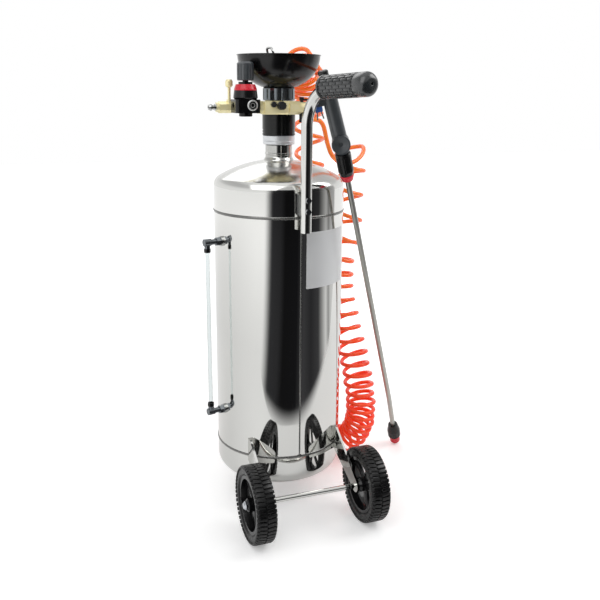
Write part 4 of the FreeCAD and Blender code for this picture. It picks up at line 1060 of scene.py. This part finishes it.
def darkPaper():
    # matt greys in a fan, which fade in from the left side and from the bowed near edge
    finish, tree, shader = newFinish("darkRoom", {"Roughness": 1.0, "Specular IOR Level": 0.0})
    spot = addNode(tree, "ShaderNodeTexCoord")
    centred = addNode(tree, "ShaderNodeMapping", {
        "Location": (0, footReach * mm, 0), "Rotation": (0, 0, math.radians(-dark["middle"]))},
        {"Vector": spot.outputs["Object"]})
    axes = addNode(tree, "ShaderNodeSeparateXYZ", {}, {"Vector": centred.outputs["Vector"]})
    angle = addNode(tree, "ShaderNodeMath", {"operation": "ARCTAN2"},
                    {0: axes.outputs["Y"], 1: axes.outputs["X"]})
    half = math.radians(dark["half"])
    share = addNode(tree, "ShaderNodeMapRange", {"From Min": -half, "From Max": half},
                    {"Value": angle.outputs[0]})
    across = share.outputs["Result"]
    ramp = addNode(tree, "ShaderNodeValToRGB", {}, {"Fac": across})
    setTones(ramp, dark["tones"])
    tree.links.new(ramp.outputs["Color"], shader.inputs["Base Color"])
    reach = addNode(tree, "ShaderNodeVectorMath", {"operation": "LENGTH"},
                    {0: centred.outputs["Vector"]})
    off = addNode(tree, "ShaderNodeMath", {"operation": "SUBTRACT", 1: dark["deepest"]},
                  {0: across})
    square = addNode(tree, "ShaderNodeMath", {"operation": "MULTIPLY"},
                     {0: off.outputs[0], 1: off.outputs[0]})
    start = addNode(tree, "ShaderNodeMath",
                    {"operation": "MULTIPLY_ADD", 1: dark["bow"], 2: dark["start"]},
                    {0: square.outputs[0]})
    past = addNode(tree, "ShaderNodeMath", {"operation": "SUBTRACT"},
                   {0: reach.outputs["Value"], 1: start.outputs[0]})
    shares = []
    for source, (low, high) in ((past.outputs[0], (0.0, dark["fade"])), (across, dark["left"])):
        fade = addNode(tree, "ShaderNodeMapRange", {
            "interpolation_type": "SMOOTHSTEP", "From Min": low, "From Max": high},
            {"Value": source})
        shares.append(fade.outputs["Result"])
    solid = addNode(tree, "ShaderNodeMath", {"operation": "MULTIPLY"},
                    {0: shares[0], 1: shares[1]})
    tree.links.new(solid.outputs[0], shader.inputs["Alpha"])
    return finish


def makeDark():
    # a ring on the floor, cut to the sector, its inner edge bowed to a U, a wall at its far edge
    bpy.ops.object.select_all(action="DESELECT")
    bpy.ops.mesh.primitive_circle_add(vertices=360, radius=dark["near"], fill_type="NOTHING")
    sheet = bpy.context.object
    sheet.name = "darkRoom"
    bpy.ops.object.mode_set(mode="EDIT")
    bpy.ops.mesh.select_all(action="SELECT")
    bpy.ops.mesh.extrude_edges_move()
    ratio = dark["edge"] / dark["near"]
    bpy.ops.transform.resize(value=(ratio, ratio, 1))
    bpy.ops.mesh.extrude_edges_move(TRANSFORM_OT_translate={"value": (0, 0, dark["wall"])})
    bpy.ops.object.mode_set(mode="OBJECT")
    for face in sheet.data.polygons:
        face.select = abs(offMiddle(face.center)) > dark["half"]
    bpy.ops.object.mode_set(mode="EDIT")
    bpy.ops.mesh.select_mode(type="FACE")
    bpy.ops.mesh.delete(type="FACE")
    bpy.ops.object.mode_set(mode="OBJECT")
    for vertex in sheet.data.vertices:
        reach = Vector((vertex.co.x, vertex.co.y)).length
        if reach < (dark["near"] + dark["edge"]) / 2:
            bow = min(abs(offMiddle(vertex.co)) / dark["half"], 1) ** dark["corner"]
            wanted = dark["near"] + (dark["far"] - dark["near"]) * bow
            vertex.co.x *= wanted / reach
            vertex.co.y *= wanted / reach
    sheet.location = (0, -footReach * mm, dark["height"])
    bpy.ops.object.transform_apply()
    sheet.data.materials.append(darkPaper())
    sheet.visible_camera = False
    sheet.visible_diffuse = False
    sheet.visible_shadow = False
    sheet.visible_transmission = False


def makeLamps():
    for at, turn, size, power in studio["lamps"]:
        bpy.ops.object.light_add(type="AREA", location=(at[0], at[1] - footReach * mm, at[2]),
                                 rotation=[math.radians(t) for t in turn])
        lamp = bpy.context.object
        lamp.data.size = size
        lamp.data.energy = power


setWorld()
makeFloor()
makeDark()
makeLamps()
bpy.context.scene.view_settings.view_transform = "Standard"
print("studio set")
